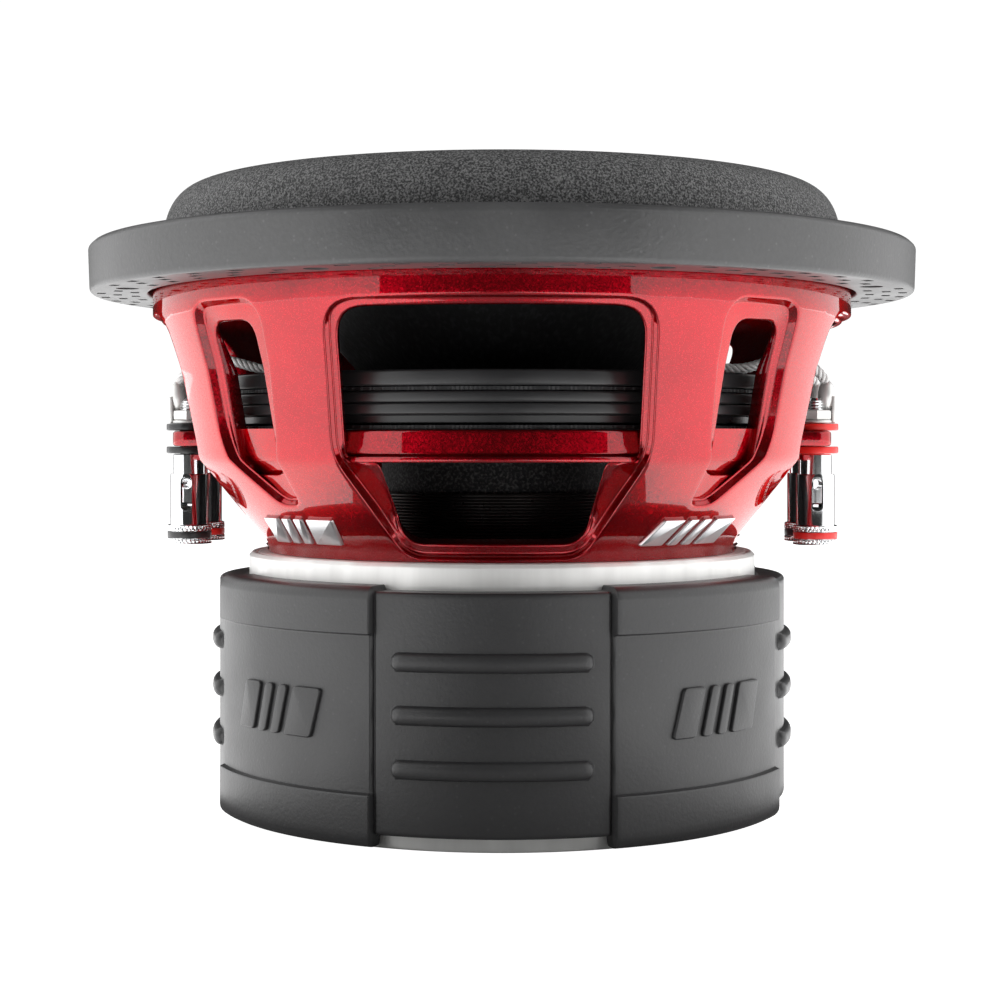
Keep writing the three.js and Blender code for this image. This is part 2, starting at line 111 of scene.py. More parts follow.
# ---- sizes and colours ---------------------------------------------------------------------
class SpeakerSizes(bpy.types.PropertyGroup):
    """Sizes of the cast, moulded and turned details."""

    recess: FloatProperty(
        name="Recess", description="Depth of the step round each window", default=0.0021, unit="LENGTH")
    arm_recess: FloatProperty(
        name="Arm recess", description="Depth of the step round each slot", default=0.0024, unit="LENGTH")
    edge: FloatProperty(
        name="Cast edge", description="Radius on the casting's edges", default=0.0007, unit="LENGTH")
    rib_height: FloatProperty(
        name="Rib height", description="How far the boot's ribs stand out", default=0.0019, unit="LENGTH")
    mark_height: FloatProperty(
        name="Bar height", description="How far the slanted bars stand out", default=0.0009, unit="LENGTH")
    knurls: IntProperty(name="Knurls", description="Teeth round a push cap", default=34)
    lead_strands: IntProperty(name="Lead strands", description="Strands twisted into a lead", default=4)
    winding_pitch: FloatProperty(
        name="Wire pitch", description="Height of one turn of the coil", default=0.0008, unit="LENGTH")


def colour(name, red, green, blue):
    return FloatVectorProperty(
        name=name, description=f"Colour of the {name.lower()}", subtype="COLOR", size=4,
        min=0.0, max=1.0, default=(red, green, blue, 1.0))


class SpeakerColours(bpy.types.PropertyGroup):
    """Colours of the finishes."""

    paint_deep: colour("Paint, deep", 0.30, 0.0007, 0.0060)
    paint_bright: colour("Paint, bright flakes", 0.62, 0.004, 0.020)
    gasket: colour("Gasket rubber", 0.058, 0.058, 0.059)
    boot: colour("Boot rubber", 0.022, 0.022, 0.023)
    surround: colour("Surround foam", 0.022, 0.022, 0.023)
    surround_speck: colour("Surround speckles", 0.17, 0.17, 0.17)
    cone: colour("Cone pulp", 0.006, 0.006, 0.0065)
    black_plastic: colour("Black plastic", 0.020, 0.020, 0.021)
    red_plastic: colour("Red plastic", 0.80, 0.022, 0.018)
    steel: colour("Plated steel", 0.93, 0.93, 0.91)
    chrome: colour("Chrome", 0.86, 0.87, 0.88)
    tinned: colour("Tinned metal", 0.85, 0.85, 0.83)
    silver: colour("Silver paint", 0.70, 0.70, 0.71)


# ---- shapes --------------------------------------------------------------------------------
def rounded(corners, steps=7):
    """An outline with rounded corners. Each corner (x, y, reach) becomes a parabolic arc that leaves
    one side and meets the next at that reach: (1-t)^2 start + 2t(1-t) corner + t^2 end."""
    points = np.array([corner[:2] for corner in corners], float)
    reach = np.array([corner[2] if len(corner) > 2 else 0.0 for corner in corners])[:, None]
    before = np.roll(points, 1, 0) - points
    after = np.roll(points, -1, 0) - points
    start = points + before * np.minimum(reach / np.linalg.norm(before, axis=1)[:, None], 0.49)
    end = points + after * np.minimum(reach / np.linalg.norm(after, axis=1)[:, None], 0.49)
    t = np.linspace(0, 1, steps)[None, :, None]
    arc = (1 - t) ** 2 * start[:, None] + 2 * t * (1 - t) * points[:, None] + t ** 2 * end[:, None]
    return arc.reshape(-1, 2)


def grid_faces(rows, columns, close_rows=False, close_columns=False):
    """Four-sided faces between neighbouring rows and columns of a grid of points."""
    index = np.arange(rows * columns).reshape(rows, columns)
    if close_rows:
        index = np.vstack([index, index[:1]])
    if close_columns:
        index = np.hstack([index, index[:, :1]])
    quads = np.stack([index[:-1, :-1], index[:-1, 1:], index[1:, 1:], index[1:, :-1]], -1)
    return quads.reshape(-1, 4).tolist()


def smooth(value, low, high):
    """0 below low, 1 above high, and 3t^2 - 2t^3 between."""
    t = np.clip((value - low) / (high - low), 0, 1)
    return t * t * (3 - 2 * t)


def even_turn(count):
    """Angles of a whole turn, evenly spread."""
    return np.linspace(0, 2 * pi, count, endpoint=False)


def turned(profile, around, closed=True, relief=None):
    """A profile of radius and height carried round Z: x = r sin a, y = -r cos a. A relief, a function
    of angle, radius and height, gives the radius that each point has instead."""
    radius = np.repeat(profile[:, :1], len(around), 1)
    height = np.repeat(profile[:, 1:2], len(around), 1)
    angle = np.broadcast_to(around, radius.shape)
    if relief:
        radius = relief(angle, radius, height)
    points = np.stack([radius * np.sin(angle), -radius * np.cos(angle), height], -1)
    return points.reshape(-1, 3), grid_faces(len(profile), len(around), closed, True)


def ring(inner, outer, low, high, around, edge=0.4):
    """A ring of rectangular section with rounded edges."""
    corners = [(inner, low, edge), (outer, low, edge), (outer, high, edge), (inner, high, edge)]
    return turned(rounded(corners, 4), around)


def swept(path, section, closed=False):
    """A flat section carried along a path of points, turned as little as the path allows: each ring
    lies across the path, on a normal that is carried from the ring before."""
    tangent = np.gradient(path, axis=0)
    tangent /= np.linalg.norm(tangent, axis=1)[:, None]
    side = np.cross(tangent[0], (0.3, 0.9, 0.2))
    sides = []
    for direction in tangent:
        side = side - direction * (side @ direction)
        side = side / np.linalg.norm(side)
        sides.append(side)
    side = np.array(sides)
    up = np.cross(tangent, side)
    points = (path[:, None] + section[None, :, :1] * side[:, None] + section[None, :, 1:] * up[:, None])
    faces = grid_faces(len(path), len(section), closed, True)
    if not closed:
        last = (len(path) - 1) * len(section)
        faces += [list(range(len(section))), list(range(last, last + len(section)))]
    return points.reshape(-1, 3), faces


def circle(radius, sides):
    """Points of a circle about the origin."""
    turn = even_turn(sides)
    return radius * np.stack([np.cos(turn), np.sin(turn)], -1)


def helix(radius, low, high, turns, steps):
    """A line that winds round Z: radius and angle steady, height growing with the angle."""
    t = np.linspace(0, 1, steps)
    angle = 2 * pi * turns * t
    return np.stack([radius * np.cos(angle), radius * np.sin(angle), low + (high - low) * t], -1)


def inset(outline, distance):
    """An outline moved inwards by a distance, along the normals of its neighbours' chord."""
    chord = np.roll(outline, -1, 0) - np.roll(outline, 1, 0)
    chord /= np.linalg.norm(chord, axis=1)[:, None] + 1e-9
    return outline + distance * np.stack([-chord[:, 1], chord[:, 0]], -1)


def capped(rows):
    """Rings of points, one above the other, as a part whose first and last rings are filled in."""
    count = len(rows[0])
    last = (len(rows) - 1) * count
    faces = grid_faces(len(rows), count, False, True)
    faces += [list(range(count)), list(range(last, last + count))]
    return np.concatenate(rows), faces


def slab(outline, low, high, edge):
    """A flat outline, given anticlockwise, made solid between two heights, its edges rounded by
    insetting it by edge (1 - cos t) while the height closes by edge (1 - sin t)."""
    turn = np.linspace(0, pi / 2, 4)
    drops = [(edge * (1 - sin(t)), low + edge * (1 - cos(t))) for t in turn]
    rises = [(edge * (1 - cos(t)), high - edge * (1 - sin(t))) for t in turn]
    rows = [np.column_stack([inset(outline, step), np.full(len(outline), height)])
            for step, height in drops + rises]
    return capped(rows)


def rod(radius, low, high, sides):
    """A plain upright cylinder on the axis, closed at both ends, to cut with."""
    profile = np.array([(0, low), (radius, low), (radius, high), (0, high)], float)
    return turned(profile, even_turn(sides), False)


def joined(*parts):
    """Several sets of points and faces as one."""
    points, faces, start = [], [], 0
    for new_points, new_faces in parts:
        points.append(new_points)
        faces += [[corner + start for corner in face] for face in new_faces]
        start += len(new_points)
    return np.concatenate(points), faces


def moved(part, x=0.0, y=0.0, z=0.0):
    """The same part, somewhere else."""
    return part[0] + np.array((x, y, z)), part[1]


def spun(part, angle):
    """The same part, turned round Z by an angle."""
    turn = np.array([[cos(angle), sin(angle), 0], [-sin(angle), cos(angle), 0], [0, 0, 1]])
    return part[0] @ turn, part[1]


def lying(part):
    """The same part with its height laid along Y: what pointed up points back."""
    points, faces = part
    return np.stack([points[:, 0], points[:, 2], points[:, 1]], -1), faces


def solid(name, part):
    """An object made of points and faces, in millimetres, with its seams closed and facing outwards."""
    mesh = bpy.data.meshes.new(name)
    mesh.from_pydata((part[0] * MM).tolist(), [], part[1])
    work = bmesh.new()
    work.from_mesh(mesh)
    bmesh.ops.remove_doubles(work, verts=work.verts, dist=SEAM)
    bmesh.ops.recalc_face_normals(work, faces=work.faces)
    work.to_mesh(mesh)
    work.free()
    made = bpy.data.objects.new(name, mesh)
    bpy.context.scene.collection.objects.link(made)
    return made


def soften(mesh, crease):
    """Shades a mesh smooth, with its edges left sharp above an angle in degrees."""
    mesh.shade_smooth()
    mesh.set_sharp_from_angle(angle=radians(crease))


def piece(name, part, material, body, slot, *nodes, crease=38):
    """A visible piece, joined to the frame: the body it moves with, its finish and the CAD nodes
    that it stands for."""
    made = solid(name, part)
    soften(made.data, crease)
    made.data.materials.append(material)
    if body:
        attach(made, body)
    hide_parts(*nodes)
    return made


def carve(made, part, crease=38):
    """Cuts a closed part out of a piece, and keeps the result as its mesh."""
    cutter = solid("cutter", part)
    cut = made.modifiers.new("cut", "BOOLEAN")
    cut.operation = "DIFFERENCE"
    cut.solver = "MANIFOLD"
    cut.object = cutter
    before = len(made.data.polygons)
    result = bpy.data.meshes.new_from_object(made.evaluated_get(bpy.context.evaluated_depsgraph_get()))
    made.modifiers.clear()
    bpy.data.objects.remove(cutter)
    if len(result.polygons) in (0, before):
        raise RuntimeError(f"the cut in {made.name} came to nothing")
    made.data = result
    soften(result, crease)
    return made


# ---- node helpers --------------------------------------------------------------------------
def feed(tree, sockets, values):
    """Gives each named socket its value: a link where the value is another socket."""
    for name, value in values.items():
        if isinstance(value, bpy.types.NodeSocket):
            tree.links.new(value, sockets[name])
        else:
            sockets[name].default_value = value


def node(tree, kind, inputs=None, **settings):
    """A shader node with its settings, and a value or a link for each input."""
    made = tree.nodes.new(kind)
    for name, value in settings.items():
        setattr(made, name, value)
    feed(tree, made.inputs, inputs or {})
    return made


def maths(tree, operation, first, second=0.0):
    """One sum of two values."""
    return node(tree, "ShaderNodeMath", {0: first, 1: second}, operation=operation).outputs[0]


def noise(tree, where, scale, detail=2.0):
    """Cloudy noise about a half, at a scale in clouds per metre."""
    return node(tree, "ShaderNodeTexNoise", {"Vector": where, "Scale": scale, "Detail": detail}).outputs[0]


def ramp(tree, value, low, high, to_low=0.0, to_high=1.0):
    """Spreads a value's stretch from low to high over another stretch, and stops at its ends."""
    return node(tree, "ShaderNodeMapRange", {
        "Value": value, "From Min": low, "From Max": high, "To Min": to_low, "To Max": to_high}).outputs[0]


def mix(tree, factor, first, second):
    """A colour between two."""
    return node(tree, "ShaderNodeMix", {0: factor, 6: first, 7: second}, data_type="RGBA").outputs[2]


def effect(name, inputs, outputs):
    """An empty node group with its sockets, its input node and a call that sets its outputs."""
    tree = bpy.data.node_groups.new(name, "ShaderNodeTree")
    for label, kind, default in inputs:
        socket = tree.interface.new_socket(name=label, in_out="INPUT", socket_type=kind)
        if default is not None:
            socket.default_value = default
    for label, kind in outputs:
        tree.interface.new_socket(name=label, in_out="OUTPUT", socket_type=kind)
    source = tree.nodes.new("NodeGroupInput").outputs
    result = tree.nodes.new("NodeGroupOutput")
    return tree, source, lambda label, socket: tree.links.new(socket, result.inputs[label])


def grain_effect():
    """Moulded grain: soft cells and a finer noise, as a height, with patches as a mask."""
    tree, source, put = effect(
        "moulded grain",
        [("Where", "NodeSocketVector", None), ("Size", "NodeSocketFloat", 0.001)],
        [("Height", "NodeSocketFloat"), ("Patches", "NodeSocketFloat")])
    scale = maths(tree, "DIVIDE", 1.0, source["Size"])
    cells = node(tree, "ShaderNodeTexVoronoi", {"Vector": source["Where"], "Scale": scale},
                 feature="SMOOTH_F1").outputs["Distance"]
    fine = noise(tree, source["Where"], maths(tree, "MULTIPLY", scale, 1.7), 3.0)
    cells, fine = maths(tree, "MULTIPLY", cells, 0.55), maths(tree, "MULTIPLY", fine, 0.6)
    put("Height", maths(tree, "ADD", cells, fine))
    put("Patches", ramp(tree, noise(tree, source["Where"], 38.0, 5.0), 0.35, 0.68))
    return tree


def speckle_effect():
    """Specks: cells of a given size, of which a share, picked at random, shows as small dots."""
    tree, source, put = effect(
        "specks",
        [("Where", "NodeSocketVector", None), ("Size", "NodeSocketFloat", 0.001),
         ("Share", "NodeSocketFloat", 0.3)],
        [("Mask", "NodeSocketFloat"), ("Random", "NodeSocketColor")])
    cells = node(tree, "ShaderNodeTexVoronoi", {
        "Vector": source["Where"], "Scale": maths(tree, "DIVIDE", 1.0, source["Size"])})
    chosen = maths(tree, "LESS_THAN", node(
        tree, "ShaderNodeSeparateColor", {"Color": cells.outputs["Color"]}).outputs[0], source["Share"])
    dot = ramp(tree, cells.outputs["Distance"], 0.45, 0.2)
    put("Mask", maths(tree, "MULTIPLY", dot, chosen))
    put("Random", cells.outputs["Color"])
    return tree


def turning_effect():
    """Marks of the lathe: noise that changes fast with radius and height and slowly round the axis."""
    tree, source, put = effect(
        "turning marks",
        [("Where", "NodeSocketVector", None), ("Pitch", "NodeSocketFloat", 0.0004)],
        [("Height", "NodeSocketFloat"), ("Streaks", "NodeSocketFloat")])
    place = node(tree, "ShaderNodeSeparateXYZ", {"Vector": source["Where"]}).outputs
    radius = maths(tree, "SQRT", maths(tree, "ADD", maths(tree, "MULTIPLY", place[0], place[0]),
                                       maths(tree, "MULTIPLY", place[1], place[1])))
    angle = maths(tree, "ARCTAN2", place[1], place[0])
    across = maths(tree, "DIVIDE", maths(tree, "ADD", radius, place[2]), source["Pitch"])
    flat = node(tree, "ShaderNodeCombineXYZ", {0: across, 1: maths(tree, "MULTIPLY", angle, 1.6)}).outputs[0]
    put("Height", noise(tree, flat, 1.0, 4.0))
    bands = node(tree, "ShaderNodeCombineXYZ", {
        0: maths(tree, "MULTIPLY", angle, 9.0), 1: maths(tree, "MULTIPLY", place[2], 9.0)}).outputs[0]
    put("Streaks", ramp(tree, noise(tree, bands, 1.6, 3.0), 0.3, 0.7))
    return tree


def shared(build):
    """A node group that is made once, under its maker's name."""
    key = build.__name__
    found = next((g for g in bpy.data.node_groups if g.get("maker") == key), None)
    if found is None:
        found = build()
        found["maker"] = key
    return found


def place_effect(tree, build, inputs):
    """A shared effect's node in a material."""
    return node(tree, "ShaderNodeGroup", inputs, node_tree=shared(build)).outputs


def finish(name, uniform):
    """A new material: its tree, its shader with the given uniform values, and object coordinates."""
    material = bpy.data.materials.new(name)
    material.use_nodes = True
    tree = material.node_tree
    shader = tree.nodes["Principled BSDF"]
    feed(tree, shader.inputs, uniform)
    where = node(tree, "ShaderNodeTexCoord").outputs["Object"]
    return material, tree, shader, where


def bump(tree, shader, height, distance, strength=1.0):
    """Raises the surface's normals by a height that is in shares of the distance."""
    made = node(tree, "ShaderNodeBump", {"Height": height, "Distance": distance, "Strength": strength})
    tree.links.new(made.outputs[0], shader.inputs["Normal"])


def surface(tree, shader, base, rough):
    """Gives a shader its colour and its roughness."""
    feed(tree, shader.inputs, {"Base Color": base, "Roughness": rough})


def shade(colour_value, factor):
    """The same colour, lighter or darker."""
    return (*(channel * factor for channel in colour_value[:3]), 1.0)


# ---- finishes ------------------------------------------------------------------------------
def paint_finish(colours):
    """Candy paint: red flakes, each leaning its own way, under a smooth clear coat."""
    material, tree, shader, where = finish("candy paint", {
        "Coat Weight": 1.0, "Coat Roughness": 0.03, "Metallic": 1.0, "Specular Tint": (1.0, 0.12, 0.14, 1)})
    flakes = place_effect(tree, speckle_effect, {"Where": where, "Size": 0.0003, "Share": 0.6})
    patches = place_effect(tree, grain_effect, {"Where": where, "Size": 0.004})["Patches"]
    deep = mix(tree, patches, shade(colours.paint_deep, 0.85), shade(colours.paint_deep, 1.2))
    share = maths(tree, "MULTIPLY", flakes["Mask"], 0.55)
    base = mix(tree, share, deep, colours.paint_bright[:])
    surface(tree, shader, base, ramp(tree, flakes["Mask"], 0, 1, 0.34, 0.25))
    lean = node(tree, "ShaderNodeVectorMath", {0: flakes["Random"], 1: (0.5, 0.5, 0.5)},
                operation="SUBTRACT")
    lean = node(tree, "ShaderNodeVectorMath", {0: lean.outputs[0], "Scale": 0.17}, operation="SCALE")
    normal = node(tree, "ShaderNodeNewGeometry").outputs["Normal"]
    tilted = node(tree, "ShaderNodeVectorMath", {0: normal, 1: lean.outputs[0]}, operation="ADD")
    tilted = node(tree, "ShaderNodeVectorMath", {0: tilted.outputs[0]}, operation="NORMALIZE")
    tree.links.new(tilted.outputs[0], shader.inputs["Normal"])
    return material


def rubber_finish(name, tone, size, depth, rough=(0.5, 0.66), dust=0.04):
    """Moulded rubber: leathery grain, patches of wear and fine dust."""
    material, tree, shader, where = finish(name, {"Specular IOR Level": 0.6})
    grain = place_effect(tree, grain_effect, {"Where": where, "Size": size})
    specks = place_effect(tree, speckle_effect, {"Where": where, "Size": 0.0009, "Share": dust})["Mask"]
    base = mix(tree, grain["Patches"], shade(tone, 0.88), shade(tone, 1.14))
    base = mix(tree, ramp(tree, grain["Height"], 0.35, 0.8, 0.0, 0.35), base, shade(tone, 0.6))
    base = mix(tree, maths(tree, "MULTIPLY", specks, 0.35), base, shade(tone, 2.2))
    surface(tree, shader, base, ramp(tree, grain["Patches"], 0, 1, *rough))
    bump(tree, shader, grain["Height"], depth, 0.6)
    return material


def foam_finish(colours):
    """The surround's skin: dark foam with salt-and-pepper speckles of two sizes."""
    material, tree, shader, where = finish("speckled foam", {"Specular IOR Level": 0.35})
    coarse = noise(tree, where, 2100.0)
    fine = noise(tree, where, 4600.0, 1.0)
    height = maths(tree, "ADD", maths(tree, "MULTIPLY", coarse, 0.7), maths(tree, "MULTIPLY", fine, 0.3))
    light = ramp(tree, height, 0.44, 0.62)
    base = mix(tree, light, colours.surround[:], colours.surround_speck[:])
    surface(tree, shader, base, ramp(tree, height, 0.4, 0.6, 0.72, 0.5))
    bump(tree, shader, height, 0.00035, 0.8)
    return material


def plastic_finish(name, tone, rough, grain_size=0.0007):
    """Smooth moulded plastic with a faint skin and slight colour change."""
    material, tree, shader, where = finish(name, {"Specular IOR Level": 0.5})
    grain = place_effect(tree, grain_effect, {"Where": where, "Size": grain_size})
    base = mix(tree, grain["Patches"], shade(tone, 0.85), shade(tone, 1.2))
    surface(tree, shader, base, ramp(tree, grain["Patches"], 0, 1, rough, rough + 0.1))
    bump(tree, shader, grain["Height"], 0.00002, 0.5)
    return material


def metal_finish(name, tone, rough, streak=0.12, depth=0.000012, pitch=0.0004, spread=0.0, shine=1.0):
    """Turned and plated metal: lathe marks, and streaks of tone round the axis. The spread draws
    highlights out round the axis, and shine is how metallic the surface is."""
    material, tree, shader, where = finish(name, {
        "Metallic": shine, "Anisotropic": spread, "Anisotropic Rotation": 0.25})
    around = node(tree, "ShaderNodeTangent", direction_type="RADIAL", axis="Z").outputs[0]
    tree.links.new(around, shader.inputs["Tangent"])
    marks = place_effect(tree, turning_effect, {"Where": where, "Pitch": pitch})
    base = mix(tree, marks["Streaks"], shade(tone, 1 - streak), tone[:])
    surface(tree, shader, base, ramp(tree, marks["Streaks"], 0, 1, rough + 0.12, rough))
    bump(tree, shader, marks["Height"], depth, 0.5)
    return material


def pulp_finish(name, tone, rough, depth=0.00012):
    """Pressed fibre: long streaks that run up the cone, with a rough felted surface."""
    material, tree, shader, where = finish(name, {"Specular IOR Level": 0.5})
    stretch = node(tree, "ShaderNodeMapping", {"Vector": where, "Scale": (900.0, 900.0, 160.0)}).outputs[0]
    fibres = noise(tree, stretch, 1.0, 4.0)
    base = mix(tree, ramp(tree, fibres, 0.5, 0.72), shade(tone, 0.7), shade(tone, 3.6))
    surface(tree, shader, base, ramp(tree, fibres, 0.3, 0.7, rough + 0.15, rough))
    bump(tree, shader, fibres, depth, 0.9)
    return material


def wire_finish():
    """Enamelled wire: dark lacquer, worn a little in random patches."""
    material, tree, shader, where = finish("enamelled wire", {"Metallic": 0.35})
    grain = place_effect(tree, grain_effect, {"Where": where, "Size": 0.002})
    base = mix(tree, grain["Patches"], (0.010, 0.009, 0.009, 1), (0.035, 0.030, 0.028, 1))
    surface(tree, shader, base, ramp(tree, grain["Height"], 0.3, 0.8, 0.25, 0.45))
    return material


def glue_finish():
    """Fuzzy cured glue over the former: grey fluff on black."""
    material, tree, shader, where = finish("former and glue", {"Specular IOR Level": 0.4})
    fluff = noise(tree, where, 1400.0, 6.0)
    base = mix(tree, ramp(tree, fluff, 0.48, 0.68), (0.005, 0.005, 0.006, 1), (0.075, 0.074, 0.072, 1))
    surface(tree, shader, base, 0.75)
    bump(tree, shader, fluff, 0.0006, 0.8)
    return material


def cloth_finish():
    """Resin-treated woven cloth: two crossed waves as a weave."""
    material, tree, shader, where = finish("spider cloth", {"Specular IOR Level": 0.3})
    waves = [node(tree, "ShaderNodeTexWave", {"Vector": where, "Scale": 300.0, "Distortion": 0.4},
                  bands_direction=axis).outputs["Fac"] for axis in ("X", "Y")]
    weave = maths(tree, "MULTIPLY", waves[0], waves[1])
    surface(tree, shader, mix(tree, weave, (0.010, 0.010, 0.011, 1), (0.04, 0.04, 0.042, 1)), 0.5)
    bump(tree, shader, weave, 0.0002, 0.7)
    return material


FINISHES = {}


def make_finishes(colours):
    """Every material of the speaker, by a maker's plain name."""
    FINISHES.update({
        "paint": paint_finish(colours),
        "gasket": rubber_finish("gasket rubber", colours.gasket, 0.0011, 0.00012, (0.36, 0.48)),
        "boot": rubber_finish("boot rubber", colours.boot, 0.0009, 0.00009, (0.38, 0.50)),
        "foam": foam_finish(colours),
        "black": plastic_finish("black plastic", colours.black_plastic, 0.26),
        "red": plastic_finish("red plastic", colours.red_plastic, 0.3),
        "steel": metal_finish("plated steel", colours.steel, 0.3, 0.1, 0.000004, 0.0006, 0.8, 0.32),
        "chrome": metal_finish("chrome plate", colours.chrome, 0.06, 0.08, 0.000003),
        "braid": plastic_finish("lead braid", (0.9, 0.9, 0.89, 1), 0.32),
        "tinned": metal_finish("tinned metal", colours.tinned, 0.34, 0.2, 0.00003, 0.0009, 0.0, 0.5),
        "silver": metal_finish("silver paint", colours.silver, 0.3, 0.12, 0.00001, 0.002),
        "dark": metal_finish("blackened steel", (0.05, 0.05, 0.055, 1), 0.35),
        "ferrite": rubber_finish("ferrite", (0.06, 0.06, 0.065, 1), 0.0008, 0.00006, (0.6, 0.7)),
        "pulp": pulp_finish("cone pulp", colours.cone, 0.42),
        "wire": wire_finish(),
        "glue": glue_finish(),
        "cloth": cloth_finish(),
    })


# ---- the cast basket -----------------------------------------------------------------------
WALL_TABLE = np.linspace(WALL[0, 0], WALL[-1, 0], 700)


def eased(column):
    """A column of the wall against the height outside, with its creases rounded: the straight-line
    table averaged over the blend's reach, with its end slopes carried on past both ends."""
    heights, values = WALL[:, 0], WALL[:, column]
    step = WALL_TABLE[1] - WALL_TABLE[0]
    count = int(WALL_BLEND / step)
    beyond = step * np.arange(1, count + 1)
    low_slope = (values[1] - values[0]) / (heights[1] - heights[0])
    high_slope = (values[-1] - values[-2]) / (heights[-1] - heights[-2])
    table = np.interp(WALL_TABLE, heights, values)
    table = np.concatenate([table[0] - low_slope * beyond[::-1], table, table[-1] + high_slope * beyond])
    window = np.hanning(2 * count + 3)[1:-1]
    return np.convolve(table, window / window.sum(), "valid")


OUTSIDE, INSIDE, INSIDE_HEIGHT = (eased(column) for column in (1, 2, 3))


def wall_at(height, depth):
    """Radius and height of the wall, for a height outside and a depth in millimetres into it. The
    depth runs straight from the outside point to the inside point across it."""
    outer = np.interp(height, WALL_TABLE, OUTSIDE)
    inner = np.interp(height, WALL_TABLE, INSIDE)
    inner_height = np.interp(height, WALL_TABLE, INSIDE_HEIGHT)
    share = depth / np.hypot(outer - inner, height - inner_height)
    return outer + share * (inner - outer), height + share * (inner_height - height)


def thickness(height):
    """The wall's thickness at a height outside."""
    return np.hypot(np.interp(height, WALL_TABLE, OUTSIDE) - np.interp(height, WALL_TABLE, INSIDE),
                    height - np.interp(height, WALL_TABLE, INSIDE_HEIGHT))


def wall_points(angle, height, depth):
    """Points on or in the wall from the angle round it."""
    radius, rise = wall_at(height, depth)
    return np.stack([radius * np.sin(angle), -radius * np.cos(angle), rise], -1)


def cut_points(across, height, depth):
    """Points in the wall from the distance across, seen from straight ahead, as a cast wall is
    drawn: the angle is the one whose sine is across / radius."""
    radius, _ = wall_at(height, depth)
    return wall_points(np.arcsin(np.clip(across / radius, -1, 1)), height, depth)


def four_sided(corners, outer_corners, across_count, up_count):
    """A rounded outline resampled into four stretches between the middles of its four outer
    corners: low and high ones evenly across, side ones evenly in height, anticlockwise from the
    low left one."""
    steps = 7
    outline = rounded(corners, steps)
    anchors = [steps * corner + steps // 2 for corner in outer_corners]
    stretches = []
    count = len(outline)
    for side in range(4):
        first, last = anchors[side], anchors[(side + 1) % 4]
        stretch = outline[np.arange(first, first + (last - first) % count + 1) % count]
        axis = side % 2
        number = up_count if axis else across_count
        sign = 1 if stretch[-1, axis] > stretch[0, axis] else -1
        wanted = np.linspace(stretch[0, axis], stretch[-1, axis], number, endpoint=False)
        other = np.interp(sign * wanted, sign * stretch[:, axis], stretch[:, 1 - axis])
        pair = (other, wanted) if axis else (wanted, other)
        stretches.append(np.column_stack(pair))
    return np.concatenate(stretches)


def frame_rows(half, across_count, up_count):
    """The patch's border as angle and height: its four sides, in the order of four_sided."""
    low, high = WALL_TABLE[0], WALL_TABLE[-1]
    wide = np.linspace(-half, half, across_count + 1)
    tall = np.linspace(low, high, up_count + 1)
    sides = [(wide[:-1], np.full(across_count, low)), (np.full(up_count, half), tall[:-1]),
             (wide[:0:-1], np.full(across_count, high)), (np.full(up_count, -half), tall[:0:-1])]
    return np.concatenate([np.column_stack(side) for side in sides])


def opening_patch(half, lip, opening, step, draft, edge, ledge_drop, counts):
    """A part of the wall with an opening in it, as closed rings of points: from the border across
    the outside, over the rounded lip, down the step, along the ledge to the opening's own edge,
    through the wall, and back across the inside to the border. The patch reaches half degrees to
    each side. The step's foot lies in from its lip by the draft, and the ledge sinks by ledge_drop,
    a function of height, on its way in."""
    border = frame_rows(radians(half), *counts)
    outer = lambda points: np.arcsin(np.clip(points[:, 0] / wall_at(points[:, 1], 0)[0], -1, 1))
    rows = []
    lip_start = inset(lip, -edge)
    start = np.column_stack([outer(lip_start), lip_start[:, 1]])
    for share in (0, 0.14, 0.28, 0.42, 0.56, 0.7, 0.82, 0.92):
        angle, height = (border + share * (start - border)).T
        rows.append(wall_points(angle, height, 0))
    quarter = np.linspace(0, pi / 2, 5)
    for t in quarter:
        x, height = inset(lip, -edge * (1 - sin(t))).T
        rows.append(cut_points(x, height, edge * (1 - cos(t))))
    for t in quarter:
        x, height = inset(lip, draft + edge * (1 - cos(t))).T
        rows.append(cut_points(x, height, step - edge * (1 - sin(t))))
    thick = thickness(opening[:, 1])
    mouth = np.minimum(step + ledge_drop(opening[:, 1]), thick - 2.2 * edge)
    near, far = inset(lip, draft + edge), inset(opening, -edge)
    for share in (0.34, 0.67, 1.0):
        x, height = (near + share * (far - near)).T
        rows.append(cut_points(x, height, step + smooth(share, 0, 1) * (mouth - step)))
    for t in quarter[1:]:
        x, height = inset(opening, -edge * (1 - sin(t))).T
        rows.append(cut_points(x, height, mouth + edge * (1 - cos(t))))
    for share in (0.5, 1.0):
        x, height = opening.T
        rows.append(cut_points(x, height, mouth + edge + share * (thick - 2 * edge - mouth)))
    for t in quarter[1:]:
        x, height = inset(opening, -edge * (1 - cos(t))).T
        rows.append(cut_points(x, height, thick - edge * (1 - sin(t))))
    back = inset(opening, -edge)
    back_radius = wall_at(back[:, 1], thickness(back[:, 1]))[0]
    back_angle = np.arcsin(np.clip(back[:, 0] / back_radius, -1, 1))
    inner = np.column_stack([back_angle, back[:, 1]])
    for share in (0.12, 0.3, 0.55, 0.8, 1.0):
        angle, height = (inner + share * (border - inner)).T
        rows.append(wall_points(angle, height, thickness(height)))
    return np.concatenate(rows), grid_faces(len(rows), len(border), False, True)


def mirrored(right):
    """A figure's corners from its right half, from low left round to high left."""
    left = [(-x, height, reach) for x, height, reach in right]
    return left[:1] + right + left[:0:-1]


